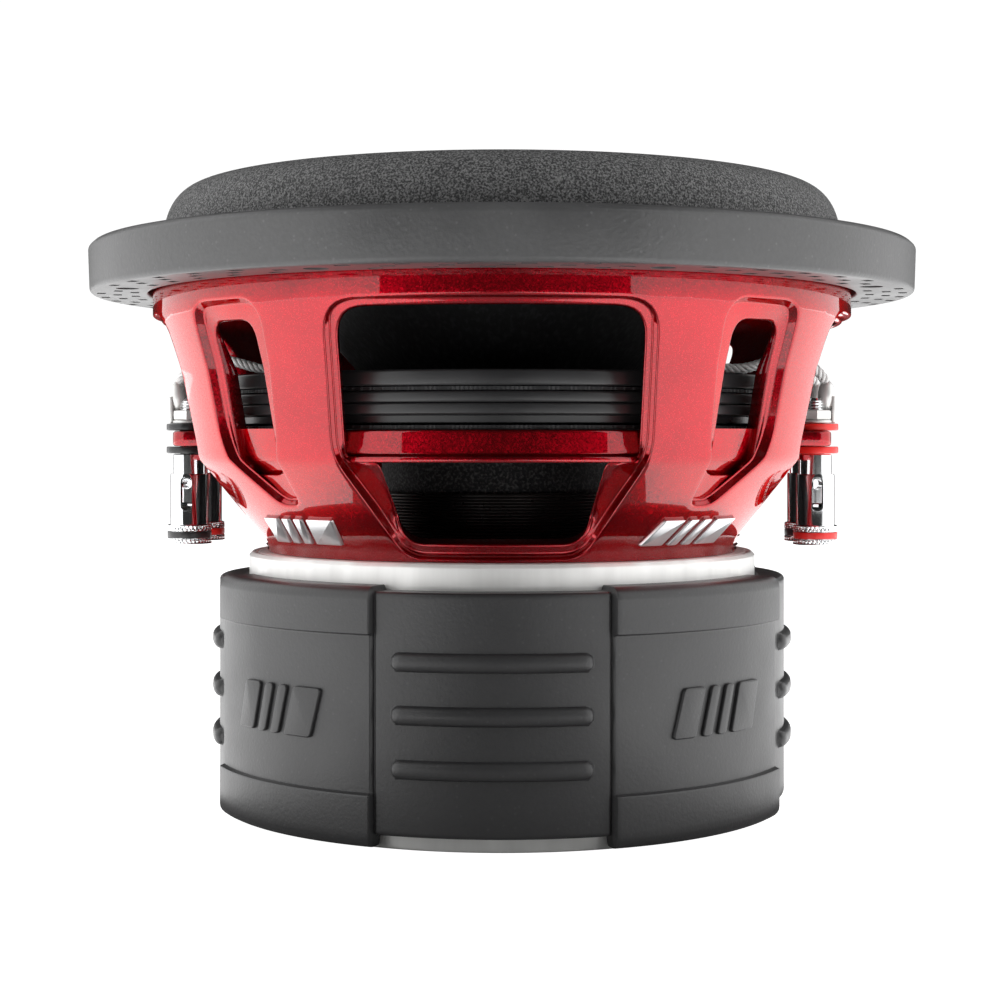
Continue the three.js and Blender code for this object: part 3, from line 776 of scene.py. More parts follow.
def window_part(sizes):
    """A window: a wide lip with rounded corners, and inside it the opening, whose flanks below the
    shelf lean in to the narrower foot. The step vanishes into the wall's own draft at the top."""
    right_lip = [(21, 68.1, 5), (36.8, 92.5, 5), (38.2, 128.4, 8)]
    right_opening = [(21.2, 71.2, 5), (26.4, 90.6, 1.5), (33.9, 92, 1.5), (35.4, 126.7, 7)]
    lip = four_sided(mirrored(right_lip), (0, 1, 3, 4), *WINDOW_COUNTS)
    opening = four_sided(mirrored(right_opening), (0, 1, 4, 5), *WINDOW_COUNTS)
    drop = lambda height: 3.0 * smooth(-height, -96, -89) * smooth(height, 70.5, 82)
    flank = smooth(-lip[:, 1], -94, -86) * smooth(lip[:, 1], 69, 80)
    foot = smooth(-lip[:, 1], -80, -70)
    step = sizes.recess / MM * (1 - 0.5 * foot) + 3.4 * flank
    draft = (0.8 * smooth(-lip[:, 1], -126, -122))[:, None]
    return opening_patch(WINDOW_SPAN, lip, opening, step, draft, sizes.edge / MM, drop, WINDOW_COUNTS)


def arm_part(sizes, lean):
    """An arm: a stepped recess that runs down to a rounded point leaning towards the window on
    the front or back, and in it a slot."""
    tip = 3.2 * lean
    left, right = (12.3, 13.9) if lean > 0 else (13.9, 12.3)
    lip = [(tip - 3.6, 80.6, 2.6), (tip + 3.6, 80.6, 2.6), (10.9, 94.5, 7), (right, 129.4, 6.5),
           (-left, 129.4, 6.5), (-10.9, 94.5, 7)]
    lip = four_sided(lip, (0, 1, 3, 4), *ARM_COUNTS)
    low_left, low_right = (5.2, 2.2) if lean < 0 else (2.2, 5.2)
    shift = -0.7 * lean
    opening = [(shift - 7.9, 87.6, low_left), (shift + 7.9, 87.6, low_right), (shift + 8.1, 124.8, 4.5),
               (shift - 8.1, 124.8, 4.5)]
    opening = four_sided(opening, (0, 1, 2, 3), *ARM_COUNTS)
    drop = lambda height: 0.5 + 0 * height
    step = np.full(len(lip), sizes.arm_recess / MM)
    return opening_patch(45 - WINDOW_SPAN, lip, opening, step, 0.7, sizes.edge / MM, drop, ARM_COUNTS)


def pocket_part():
    """The block that closes an arm's slot below the shelf, set back from the wall's outside by
    4.4 mm. It reaches from 84.6 to 99 mm in height."""
    across, up = 17, 15
    angle, height = np.meshgrid(np.radians(np.linspace(-7.6, 7.6, across)), np.linspace(84.6, 99.0, up))
    layers = [wall_points(angle, height, np.minimum(depth, thickness(height) - 0.3)) for depth in (4.4, 6.8)]
    points = np.concatenate([layer.reshape(-1, 3) for layer in layers])
    count = across * up
    front = grid_faces(up, across)
    back = [[corner + count for corner in face] for face in front]
    index = np.arange(count).reshape(up, across)
    rim = np.concatenate([index[0], index[1:, -1], index[-1, -2::-1], index[-2:0:-1, 0]])
    sides = [[a, b, b + count, a + count] for a, b in zip(rim, np.roll(rim, -1))]
    return points, front + back + sides


def wall_ends():
    """The strips that close the wall at its foot and its rim, on the same angles as the patches."""
    window = np.radians(np.linspace(-WINDOW_SPAN, WINDOW_SPAN, WINDOW_COUNTS[0] + 1))[:-1]
    arm = np.radians(np.linspace(WINDOW_SPAN, 90 - WINDOW_SPAN, ARM_COUNTS[0] + 1))[:-1]
    around = np.concatenate([np.concatenate([window, arm]) + turn for turn in even_turn(4)])
    strips = []
    for height in (WALL_TABLE[0], WALL_TABLE[-1]):
        level = np.full(len(around), height)
        rows = [wall_points(around, level, 0), wall_points(around, level, thickness(level))]
        strips.append((np.concatenate(rows), grid_faces(2, len(around), False, True)))
    return strips


def tab_part():
    """A terminal tab on +X: a plate with two rounded corners that grows out of the shelf."""
    root, reach, half = 72, 86.3, 18
    high = level("washer_upper_left_front")[0] - 0.1
    outline = rounded([(root, -half, 0.1), (reach, -half, 5), (reach, half, 5), (root, half, 0.1)], 9)
    return slab(outline, high - 4, high, 0.8)


def slanted(left, low, width, tall, slant, reach, steps):
    """A bar's outline: a leaning four-sided figure with rounded corners."""
    right = left + width
    return rounded([(left, low, reach), (right, low, reach), (right + slant, low + tall, reach),
                    (left + slant, low + tall, reach)], steps)


def bar_on_wall(left, width, height):
    """A slanted bar that stands out of the wall, its outline inset as it rises."""
    outline = slanted(left, 70.9, width, 6.4, 2.4, 0.5, 4)
    return capped([cut_points(*inset(outline, step).T, -rise) for step, rise in
                   ((0, -0.4), (0, 0.55 * height), (0.12, 0.85 * height), (0.35, height))])


class SPEAKER_OT_basket(bpy.types.Operator):
    """Cast basket with four windows, four recessed arms, shelf, foot, flange and terminal tabs"""

    bl_idname = "speaker.basket"
    bl_label = "Basket"

    def execute(self, context):
        sizes = context.scene.speaker_sizes
        around = even_turn(288)
        window = window_part(sizes)
        parts = [spun(window, turn) for turn in even_turn(4)]
        for quarter, lean in enumerate((-1, 1, -1, 1)):
            parts.append(spun(arm_part(sizes, lean), pi / 4 + quarter * pi / 2))
            parts.append(spun(pocket_part(), pi / 4 + quarter * pi / 2))
        parts += wall_ends()
        shelf = rounded([(SHELF["inner"], SHELF["low"], 0.5), (76.4, SHELF["low"], 0.3),
                         (76.6, SHELF["low"] - 1.1, 0.4), (78.6, SHELF["low"] - 1.1, 0.6),
                         (78.6, SHELF["low"] + 0.3, 0.5), (SHELF["outer"], SHELF["low"] + 0.9, 0.4),
                         (SHELF["outer"], SHELF["high"], 0.8), (SHELF["inner"], SHELF["high"], 0.6)], 5)
        parts.append(turned(shelf, around, True, self.trimmed))
        parts.append(ring(42.0, 60.2, BASKET_LOW, 72.0, around, 0.8))
        parts.append(ring(88.9, BASKET_RADIUS, 137.6, BASKET_HIGH, around, 0.5))
        parts += [spun(tab_part(), turn) for turn in (0, pi)]
        piece("cast_basket", joined(*parts), FINISHES["paint"], "frame", "red_paint", "basket")
        return {"FINISHED"}

    def trimmed(self, angle, radius, height):
        """The shelf's radius with its lip drawn in on both sides, to stay clear of the push caps."""
        beyond = np.maximum(radius - SHELF["outer"] - 0.1, 0)
        return radius - beyond * smooth(-np.abs(np.cos(angle)), -0.27, -0.21)


class SPEAKER_OT_marks(bpy.types.Operator):
    """Plain slanted bars: silver ones at the foot of each arm"""

    bl_idname = "speaker.marks"
    bl_label = "Slanted bars"

    def execute(self, context):
        height = context.scene.speaker_sizes.mark_height / MM
        places = ((-14.5, 6.5), (-6.2, 3.0), (-1.4, 3.0), (3.4, 8.5))
        bars = [bar_on_wall(left, width, height) for left, width in places]
        mark = joined(*bars)
        for number, turn in enumerate(even_turn(4)):
            piece(f"silver_bars_{number + 1}", spun(mark, turn + pi / 4), FINISHES["silver"], "frame",
                  "bright_steel", crease=50)
        return {"FINISHED"}


# ---- rubber parts --------------------------------------------------------------------------
class SPEAKER_OT_gasket(bpy.types.Operator):
    """Moulded gasket that wraps the basket's flange, with screw holes and pockets underneath"""

    bl_idname = "speaker.gasket"
    bl_label = "Gasket"

    def execute(self, context):
        around = even_turn(360)
        wrap, flange_high = 93.6, BASKET_HIGH + 0.3
        flange_low, flange_edge = 137.3, BASKET_RADIUS + 0.3
        lip_low, lip_inner = GASKET_HIGH - 3.0, 91.0
        profile = rounded([
            (wrap, GASKET_LOW, 0.8), (GASKET_RADIUS - 0.4, GASKET_LOW, 1.3),
            (GASKET_RADIUS, GASKET_HIGH - 1.6, 0.7), (GASKET_RADIUS - 1.7, GASKET_HIGH, 0.9),
            (lip_inner, GASKET_HIGH, 1.0), (lip_inner, lip_low, 0.6), (ROLL_RADIUS + 0.3, lip_low, 0.3),
            (ROLL_RADIUS + 0.3, flange_high, 0.3), (flange_edge, flange_high, 0.2),
            (flange_edge, flange_low, 0.2), (wrap, flange_low, 0.4)], 6)
        gasket = piece("moulded_gasket", turned(profile, around), FINISHES["gasket"], "frame",
                       "gasket_rubber", "rubber_gasket")
        holes = []
        for turn in even_turn(8):
            place = turn + pi / 8
            holes.append(moved(rod(2.9, 130, 160, 32), SCREW_CIRCLE * cos(place), SCREW_CIRCLE * sin(place)))
        pocket = slab(rounded([(-1.1, -1.8, 0.2), (1.1, -1.8, 0.2), (1.1, 1.8, 0.2), (-1.1, 1.8, 0.2)], 2),
                      GASKET_LOW - 1, GASKET_LOW + 1.6, 0.01)
        for row, radius in enumerate((97.2, 101.6, 105.6)):
            for turn in even_turn(48) + row * pi / 72:
                if abs(turn % (pi / 4) - pi / 8) > 0.08:
                    holes.append(spun(moved(pocket, radius), turn))
        carve(gasket, joined(*holes))
        return {"FINISHED"}


def blend_round(made):
    """Reads the positions of a piece's points into an array, and does nothing more with them."""
    places = np.empty(len(made.data.vertices) * 3)
    made.data.vertices.foreach_get("co", places)


class SPEAKER_OT_surround(bpy.types.Operator):
    """Surround: one tall half-roll between the gasket and the cone"""

    bl_idname = "speaker.surround"
    bl_label = "Surround"

    def execute(self, context):
        middle, half, wall, lip = 77.9, 11.9, 2.6, 2.0
        height = ROLL_HIGH - GASKET_HIGH
        turn = np.linspace(0, pi, 41)
        inside = np.column_stack([middle + (half - wall) * np.cos(turn),
                                  GASKET_HIGH + (height - wall) * np.sin(turn)])
        power = 0.86
        crown = np.column_stack([
            middle + half * np.sign(np.cos(turn)) * np.abs(np.cos(turn)) ** power,
            GASKET_HIGH + height * np.sin(turn) ** power])
        inner_low = ROLL_LOW + 1.7
        profile = np.concatenate([
            rounded([(middle + half - wall, ROLL_LOW, 0.2), (ROLL_RADIUS, ROLL_LOW, 0.5),
                     (ROLL_RADIUS, ROLL_LOW + lip, 0.5), (middle + half, ROLL_LOW + lip, 0.8)], 4)[:16],
            crown,
            [(middle - half, inner_low + lip), (60.9, inner_low + lip), (60.6, inner_low + lip - 0.3),
             (60.6, inner_low), (middle - half + wall, inner_low)],
            inside[::-1]])
        made = piece("roll_surround", turned(profile, even_turn(256)), FINISHES["foam"], None,
                     "surround_foam", "surround", crease=50)
        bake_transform(made)
        blend_round(made)
        return {"FINISHED"}


def near(edges, low, high, fine, coarse, reach):
    """Sample places from low to high: coarse ones throughout and fine ones within reach of the edges."""
    places = [np.arange(low, high + coarse / 2, coarse)]
    places += [np.arange(edge - reach, edge + reach + fine / 2, fine) for edge in edges]
    places = np.unique(np.round(np.clip(np.concatenate(places), low, high), 4))
    keep = np.concatenate([[True], np.diff(places) > fine * 0.55])
    return places[keep]


class SPEAKER_OT_boot(bpy.types.Operator):
    """Rubber boot over the magnets: four flush panels with ribs, and four raised corner panels"""

    bl_idname = "speaker.boot"
    bl_label = "Magnet boot"

    def execute(self, context):
        sizes = context.scene.speaker_sizes
        rib_out = sizes.rib_height / MM
        flush = BOOT_RADIUS - rib_out
        field, band = BOOT_RADIUS - 1.2, BOOT_RADIUS - 0.05
        panel, inner, lip = 21.8, 71.1, 67.9
        quarter = near((-panel, panel, -18.4, 18.4), -45, 44.6, 0.13, 0.75, 0.8)
        around = np.radians((quarter[None, :] + np.array([0, 90, 180, 270])[:, None]).ravel())
        local = np.abs((np.degrees(around) + 45) % 90 - 45)
        corner = smooth(local, panel, panel + 0.55)
        low = 3.9 + corner * (BOOT_LOW - 3.9)
        high = 60.9 + corner * (BOOT_HIGH - 60.9)
        bevel = 1.0 + corner * 1.9
        rib_half, rib_reach = 2.3, radians(18.3) * flush
        rib_middles = np.array([19.7, 32.3, 44.7])
        edges = [4.6, 13.6, 50.9, 59.3, *(rib_middles - rib_half), *(rib_middles + rib_half)]
        heights = near(edges, 5.2, 59.2, 0.22, 1.5, 1.1)

        def face(height):
            """Radius of the outside at a height: flush panel with ribs, or corner panel with bands."""
            across = np.maximum(np.abs(local) * pi / 180 * flush - (rib_reach - rib_half), 0)
            nearest = rib_middles[np.argmin(np.abs(rib_middles - height))]
            distance = np.hypot(across, height - nearest) / rib_half
            rib = rib_out * np.sqrt(np.clip(1 - distance ** 2.4, 0, 1))
            banded = max(smooth(-height, -13.8, -13.3), smooth(height, 50.6, 51.1))
            outside = flush + rib * (local < panel) + corner * (field + banded * (band - field) - flush)
            seam = 0.55 * np.exp(-((local - panel + 0.1) * pi / 180 * flush / 0.3) ** 2)
            return outside - seam

        rows = [(np.full(len(around), inner), low)]
        for t in np.linspace(0, pi / 2, 6):
            edge_radius = face(heights[0])
            rows.append((edge_radius - bevel * (1 - sin(t)), low + bevel * (1 - cos(t))))
        rows += [(face(height), np.full(len(around), height)) for height in heights]
        for t in np.linspace(0, pi / 2, 6):
            edge_radius = face(heights[-1])
            rows.append((edge_radius - bevel * (1 - cos(t)), high - bevel * (1 - sin(t))))
        rows += [(np.full(len(around), lip + 0.4), high), (np.full(len(around), lip), high - 0.4),
                 (np.full(len(around), lip), np.full(len(around), 55.5)),
                 (np.full(len(around), inner), np.full(len(around), 55.5))]
        radius = np.array([row[0] for row in rows])
        height = np.array([row[1] for row in rows])
        points = np.stack([radius * np.sin(around), -radius * np.cos(around), height], -1).reshape(-1, 3)
        boot = (points, grid_faces(len(rows), len(around), True, True))
        piece("rubber_boot", boot, FINISHES["boot"], "frame", "boot_rubber", "magnet_boot")
        bars = [self.bar(field, left, width, sizes.mark_height / MM)
                for left, width in ((-15.0, 7.0), (-6.0, 3.2), (-0.8, 3.2), (4.4, 9.0))]
        for number, turn in enumerate(even_turn(4)):
            piece(f"moulded_bars_{number + 1}", spun(joined(*bars), turn + pi / 4), FINISHES["boot"],
                  "frame", "boot_rubber", crease=50)
        return {"FINISHED"}

    def bar(self, base, left, width, rise):
        """A slanted bar moulded on a corner panel, its outline wrapped round the panel."""
        outline = slanted(left, 25.5, width, 12.0, 3.4, 1.2, 5)
        rows = []
        for step, out in ((0, -0.5), (0, rise * 0.6), (0.15, rise * 0.9), (0.4, rise)):
            x, height = inset(outline, step).T
            angle, radius = x / base, base + out
            rows.append(np.column_stack([radius * np.sin(angle), -radius * np.cos(angle), height]))
        return capped(rows)


# ---- motor, stack and moving parts ---------------------------------------------------------
class SPEAKER_OT_motor(bpy.types.Operator):
    """Top plate, back plate with pole, magnets and the screws of the basket's foot"""

    bl_idname = "speaker.motor"
    bl_label = "Motor"

    def execute(self, context):
        around = even_turn(256)
        groove = 65.3
        profile = rounded([
            (35.2, PLATE_LOW, 0.4), (PLATE_RADIUS, PLATE_LOW, 0.5), (PLATE_RADIUS, PLATE_HIGH - 0.9, 0.2),
            (PLATE_RADIUS - 0.9, PLATE_HIGH, 0.2), (groove + 0.35, PLATE_HIGH, 0.05),
            (groove + 0.3, PLATE_HIGH - 0.5, 0.1), (groove - 0.3, PLATE_HIGH - 0.5, 0.1),
            (groove - 0.35, PLATE_HIGH, 0.05), (35.2, PLATE_HIGH, 0.5)], 4)
        plate = piece("turned_top_plate", turned(profile, around), FINISHES["steel"], "frame",
                      "bright_steel", "top_plate")
        screws = [(52 * cos(turn), 52 * sin(turn)) for turn in even_turn(4) + pi / 4]
        bore = rod(2.4, 59.1, 200, 24)
        carve(plate, joined(*(moved(bore, x, y) for x, y in screws)))
        pole = rounded([
            (12, 3, 0.5), (15, 3, 0.2), (15, BACK_LOW, 0.5), (BACK_RADIUS, BACK_LOW, 0.7),
            (BACK_RADIUS, 12, 0.7), (30.4, 12, 0.3), (30.4, POLE_HIGH - 2, 0.5), (28.4, POLE_HIGH, 0.5),
            (15, POLE_HIGH, 0.5), (12, POLE_HIGH - 6, 1.5)], 5)
        piece("turned_back_plate", turned(pole, around), FINISHES["steel"], "frame", "bright_steel",
              "back_plate_and_pole")
        hexagon = lambda angle, radius, height: np.where(
            (radius < 2.2) & (radius > 0), 1.9 / np.cos((angle + pi / 6) % (pi / 3) - pi / 6), radius)
        for number, (x, y) in enumerate(screws):
            low, high = level(f"basket_screw_{number + 1}")
            head = high - 2.6
            profile = np.array([
                (0, low), (1.6, low), (2.3, low + 0.8), (2.3, head), (3.6, head), (4, head + 0.4),
                (4, head + 1.2), (3.7, head + 1.9), (3.1, high - 0.2), (2.5, high), (2.1, high),
                (2.1, high - 1.5), (0, high - 1.5)])
            screw = turned(profile, even_turn(48), False, hexagon)
            piece(f"button_screw_{number + 1}", moved(screw, x, y), FINISHES["dark"], "frame", "dark_steel",
                  f"basket_screw_{number + 1}", crease=32)
        for name, look in (("magnet_rear", "ferrite"), ("magnet_front", "ferrite"), ("vent_screen", "dark")):
            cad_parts[name].data.materials.clear()
            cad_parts[name].data.materials.append(FINISHES[look])
        return {"FINISHED"}


class SPEAKER_OT_stack(bpy.types.Operator):
    """The rings on the basket's shelf, and the two corrugated spiders that they hold"""

    bl_idname = "speaker.stack"
    bl_label = "Spiders and rings"

    def execute(self, context):
        around = even_turn(224)
        radius, low, high = span("spider_spacer_lower")
        grooved = rounded([(67, low, 0.2), (radius - 3, low, 0.3), (radius - 3, low + 1.9, 0.3),
                           (radius, low + 2.1, 0.5), (radius, high, 0.6), (67, high, 0.4)], 5)
        piece("grooved_ring", turned(grooved, around), FINISHES["black"], "frame", "black_plastic",
              "spider_spacer_lower")
        for name, node_name in (("spacer_ring", "spider_spacer_upper"),
                                ("clamp_ring_top", "spider_clamp_ring")):
            radius, low, high = span(node_name)
            piece(name, ring(67, radius, low, high, around, 0.7), FINISHES["black"], "frame",
                  "black_plastic", node_name)
        for name, node_name in (("corrugated_spider_low", "spider_lower"),
                                ("corrugated_spider_high", "spider_upper")):
            self.spider(name, node_name)
        return {"FINISHED"}

    def spider(self, name, node_name):
        """A disc whose height is a cosine of the radius between its glued collar and its flat edge."""
        edge, bottom, _ = span(node_name)
        base, thick, inner, waves = bottom + 1.0, 0.8, 37.0, 4
        wave_end = 65.0
        radius = np.concatenate([[32.6, 33.7, 35.5], np.linspace(inner, wave_end, 80), [67.5, 72, edge]])
        share = np.clip((radius - inner) / (wave_end - inner), 0, 1)
        middle = base + 0.5 + 1.0 * (1 - np.cos(2 * pi * waves / 2 * share)) * (radius < wave_end)
        middle[:2] = base - 0.5
        upper = np.column_stack([radius, middle + thick / 2])
        lower = np.column_stack([radius, middle - thick / 2])[::-1]
        part = turned(np.concatenate([upper, lower]), even_turn(160))
        made = piece(name, part, FINISHES["cloth"], None, "spider_cloth", node_name, crease=60)
        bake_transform(made)
        blend_round(made)


class SPEAKER_OT_cone(bpy.types.Operator):
    """Cone, dust cap, former and the wire wound on it"""

    bl_idname = "speaker.cone"
    bl_label = "Moving assembly"

    def execute(self, context):
        around = even_turn(224)
        rim, neck_low, edge_high = span("cone")
        neck, edge_low = 32.7, edge_high - 2.4
        profile = rounded([
            (neck, neck_low, 0.2), (neck + 2.4, neck_low, 0.5), (rim - 5, edge_low, 1.5),
            (rim, edge_low, 0.3), (rim, edge_high, 0.3), (rim - 7.6, edge_high, 1.5),
            (neck, neck_low + 3.4, 0.3)], 5)
        piece("pulp_cone", turned(profile, around), FINISHES["pulp"], "moving_assembly",
              "cone_paper", "cone")
        edge, low, high = span("dust_cap")
        radius = np.linspace(edge, 0, 36)
        dome = high - (high - low - 1.2) * (radius / edge) ** 2
        piece("pulp_dust_cap", self.cap(radius, dome, around), FINISHES["pulp"], "moving_assembly",
              "cone_paper", "dust_cap")
        outer, low, high = span("voice_coil_former")
        piece("former_tube", ring(outer - 0.6, outer, low, high, around, 0.1), FINISHES["glue"],
              "moving_assembly", "former_sheet", "voice_coil_former")
        self.winding(context.scene.speaker_sizes.winding_pitch / MM)
        return {"FINISHED"}

    def cap(self, radius, dome, around):
        """The dust cap: a parabolic dome of even thickness, closed over the axis."""
        top = np.column_stack([radius[::-1], dome[::-1]])
        under = np.column_stack([radius, dome - 1.2])
        return turned(np.concatenate([top, under]), around, False)

    def winding(self, pitch):
        """The coil: a tube whose outside swells once for every turn of wire."""
        outer, low, high = span("voice_coil_winding")
        heights = np.arange(low, high, pitch / 8)
        outside = outer - 0.45 * pitch + 0.45 * pitch * np.abs(np.sin(pi * (heights - low) / pitch)) ** 0.6
        inside = np.array([(outer - 2.0, high - 0.2), (outer - 2.0, low)])
        profile = np.concatenate([np.column_stack([outside, heights]), inside])
        piece("wound_coil", turned(profile, even_turn(128)), FINISHES["wire"], "moving_assembly",
              "enamelled_wire", "voice_coil_winding", crease=70)


# ---- terminals -----------------------------------------------------------------------------
WIRE_HOLE_HIGH, SLOT_HIGH = 84.9, 82.3  # heights of a post's wire hole and of its cap's slot
LEAD_LAY, LEAD_SPREAD = 6.0, 0.68  # length of one twist, and the strands' distance from the route
LEAD_ROUTE = (  # distance from the axis and height
    (85.3, 108.4), (84.9, 112.4), (80.8, 116.6), (76.0, 118.2), (70.0, 117.0), (64.0, 115.4),
    (58.0, 115.6), (54.0, 118.2), (52.0, 122.6), (51.3, 127.6))


def smooth_route(points, steps):
    """A curve through points, each stretch a cubic whose end slopes are those of the neighbours'
    chords (Catmull-Rom)."""
    padded = np.vstack([2 * points[0] - points[1], points, 2 * points[-1] - points[-2]])
    t = np.linspace(0, 1, steps, endpoint=False)[None, :, None]
    a, b, c, d = (padded[i:len(padded) - 3 + i, None] for i in range(4))
    curve = 0.5 * (2 * b + (c - a) * t + (2 * a - 5 * b + 4 * c - d) * t ** 2
                   + (3 * b - a - 3 * c + d) * t ** 3)
    return np.vstack([curve.reshape(-1, points.shape[1]), points[-1]])


class SPEAKER_OT_terminals(bpy.types.Operator):
    """Four push terminals with their washers, lugs, nuts and braided leads"""

    bl_idname = "speaker.terminals"
    bl_label = "Terminals"

    def execute(self, context):
        sizes = context.scene.speaker_sizes
        for name in CORNERS:
            low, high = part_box(f"washer_lower_{name}")
            x, y = (low.x + high.x) / 2 / MM, (low.y + high.y) / 2 / MM
            side = 1 if x > 0 else -1
            plastic = "red" if name in ("left_rear", "right_front") else "black"
            cap_body = f"push_cap_{name}"
            self.post(name, x, y)
            self.sleeve(name, x, y, sizes.knurls, cap_body)
            stripe = level(f"terminal_stripe_{name}")
            piece(f"colour_stripe_{name}", moved(ring(5.3, 5.75, *stripe, even_turn(64), 0.15), x, y),
                  FINISHES[plastic], cap_body, f"{plastic}_plastic", f"terminal_stripe_{name}")
            for where in ("lower", "upper"):
                washer = ring(2.9, 6.0, *level(f"washer_{where}_{name}"), even_turn(64), 0.35)
                piece(f"{where}_washer_{name}", moved(washer, x, y), FINISHES[plastic], "frame",
                      f"{plastic}_plastic", f"washer_{where}_{name}")
            self.lug(name, x, y, side)
            self.nut(name, x, y)
            self.spring(name, x, y)
            self.lead(name, side, y, sizes.lead_strands)
        return {"FINISHED"}

    def post(self, name, x, y):
        """Chrome post with its wire hole, shoulder and threaded stud."""
        low, high = level(f"terminal_post_{name}")
        shoulder = level(f"washer_lower_{name}")[0] - 0.1
        thread = np.arange(shoulder + 0.4, high - 0.6, 0.1)
        stud = np.column_stack([2.25 + 0.25 * np.abs(np.sin(pi * thread / 0.8)), thread])
        profile = np.concatenate([
            [(0, low), (3.9, low), (4.3, low + 0.4), (4.3, shoulder - 0.3), (4.0, shoulder),
             (2.4, shoulder)],
            stud, [(2.0, high), (0, high)]])
        made = piece(f"chrome_post_{name}", moved(turned(profile, even_turn(64), False), x, y),
                     FINISHES["chrome"], "frame", "chrome", f"terminal_post_{name}")
        carve(made, moved(lying(rod(1.4, -20, 20, 32)), x, y, WIRE_HOLE_HIGH))

    def sleeve(self, name, x, y, teeth, body):
        """Push cap: a slotted sleeve whose end is knurled above and below the coloured stripe. The
        knurl is the smaller of two crossed waves, cos(n a + k z) and cos(n a - k z)."""
        low, high = level(f"terminal_sleeve_{name}")
        bands = ((low + 0.3, low + 1.6), (low + 3.5, low + 5.0))

        def knurl(angle, radius, height):
            inside = sum(smooth(height, a, a + 0.15) * smooth(-height, -b, -b + 0.15) for a, b in bands)
            cross = np.minimum(np.abs(np.cos(teeth / 2 * angle + 2.2 * height)),
                               np.abs(np.cos(teeth / 2 * angle - 2.2 * height)))
            return np.where(radius > 5.55, radius - 0.32 * inside * (1 - cross ** 0.7), radius)

        cap = 5.8
        knurled_low = np.linspace(low + 0.3, low + 1.55, 9)
        knurled_high = np.linspace(low + 3.55, low + 4.95, 10)
        side = lambda heights: np.column_stack([np.full(len(heights), cap), heights])
        profile = np.concatenate([
            [(0, low), (cap - 0.45, low), (cap - 0.1, low + 0.15)], side(knurled_low),
            [(cap - 0.15, low + 1.6), (5.15, low + 1.6), (5.15, low + 3.5), (cap - 0.15, low + 3.5)],
            side(knurled_high),
            [(cap - 0.3, low + 5.2), (5.1, low + 5.2), (5, low + 5.4), (5, high - 0.35), (4.85, high),
             (4.7, high), (4.65, high - 0.2), (4.65, low + 1.5), (0, low + 1.5)]])
        made = piece(f"chrome_cap_{name}", moved(turned(profile, even_turn(4 * teeth), False, knurl), x, y),
                     FINISHES["chrome"], body, "chrome", f"terminal_sleeve_{name}", crease=30)
        slot = rounded([(-1.5, -4.4, 1.4), (1.5, -4.4, 1.4), (1.5, 4.4, 1.4), (-1.5, 4.4, 1.4)], 7)
        cutter = lying(slab(slot, -20, 20, 0.01))
        carve(made, moved(cutter, x, y, SLOT_HIGH), crease=30)

    def lug(self, name, x, y, side):
        """Solder lug: a washer under the nut, a tongue on the outer side and a lump of solder, half
        an ellipse turned round its own axis."""
        low, high = level(f"solder_lug_{name}")
        tongue = rounded([(4.1, -2.2, 0.3), (5.0, -2.2, 0.3), (5.0, 2.2, 0.3), (4.1, 2.2, 0.3)], 5)
        t = np.linspace(-pi / 2, pi / 2, 17)
        lump = turned(np.column_stack([2.3 * np.cos(t), high - 4.4 + 4.1 * np.sin(t)]), even_turn(40), False)
        parts = joined(ring(2.9, 4.6, low, low + 0.8, even_turn(48), 0.2),
                       slab(tongue, low, high - 4.5, 0.25), moved(lump, 3.0))
        parts = parts if side > 0 else spun(parts, pi)
        piece(f"tinned_lug_{name}", moved(parts, x, y), FINISHES["tinned"], "frame", "tinned_metal",
              f"solder_lug_{name}")

    def nut(self, name, x, y):
        """Six-sided nut: the ring's outer radius is a / cos of the angle from each flat's middle."""
        low, high = level(f"terminal_nut_{name}")
        flat = 3.8
        hexagon = lambda angle, radius, height: np.where(
            radius > 3.3, (radius - 4.39 + flat / np.cos(angle % (pi / 3) - pi / 6)), radius)
        profile = np.array([(2.6, low + 0.1), (3.0, low), (4.1, low), (4.39, low + 0.3), (4.39, high - 0.3),
                            (4.1, high), (3.0, high), (2.6, high - 0.2)])
        piece(f"hexagon_nut_{name}", moved(turned(profile, even_turn(72), True, hexagon), x, y),
              FINISHES["steel"], "frame", "bright_steel", f"terminal_nut_{name}", crease=32)

    def spring(self, name, x, y):
        """Coil spring between the cap's floor and the post, built at rest."""
        low, high = level(f"terminal_spring_{name}")
        line = helix(3.3, low + 0.45, high - 0.45, 3.5, 110)
        made = piece(f"coil_spring_{name}", moved(swept(line, circle(0.42, 8)), x, y), FINISHES["steel"],
                     "frame", "tinned_metal", f"terminal_spring_{name}", crease=60)
        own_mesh(made)

    def lead(self, name, side, y, strands):
        """Braided lead: strands that wind round the route, each at an even angle from the next."""
        route = np.array([(side * across, y, height) for across, height in LEAD_ROUTE])
        path = smooth_route(route, 18)
        length = np.concatenate([[0], np.cumsum(np.linalg.norm(np.diff(path, axis=0), axis=1))])
        tangent = np.gradient(path, axis=0)
        tangent /= np.linalg.norm(tangent, axis=1)[:, None]
        sideways = np.array((0.0, 1.0, 0.0)) + 0 * tangent
        up = np.cross(tangent, sideways)
        parts = []
        for strand in range(strands):
            turn = (2 * pi * (length / LEAD_LAY + strand / strands))[:, None]
            offset = LEAD_SPREAD * (np.cos(turn) * sideways + np.sin(turn) * up)
            parts.append(swept(path + offset, circle(0.64, 8)))
        made = piece(f"braided_lead_{name}", joined(*parts), FINISHES["braid"], None, "tinned_metal",
                     f"tinsel_lead_{name}", crease=70)
        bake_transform(made)


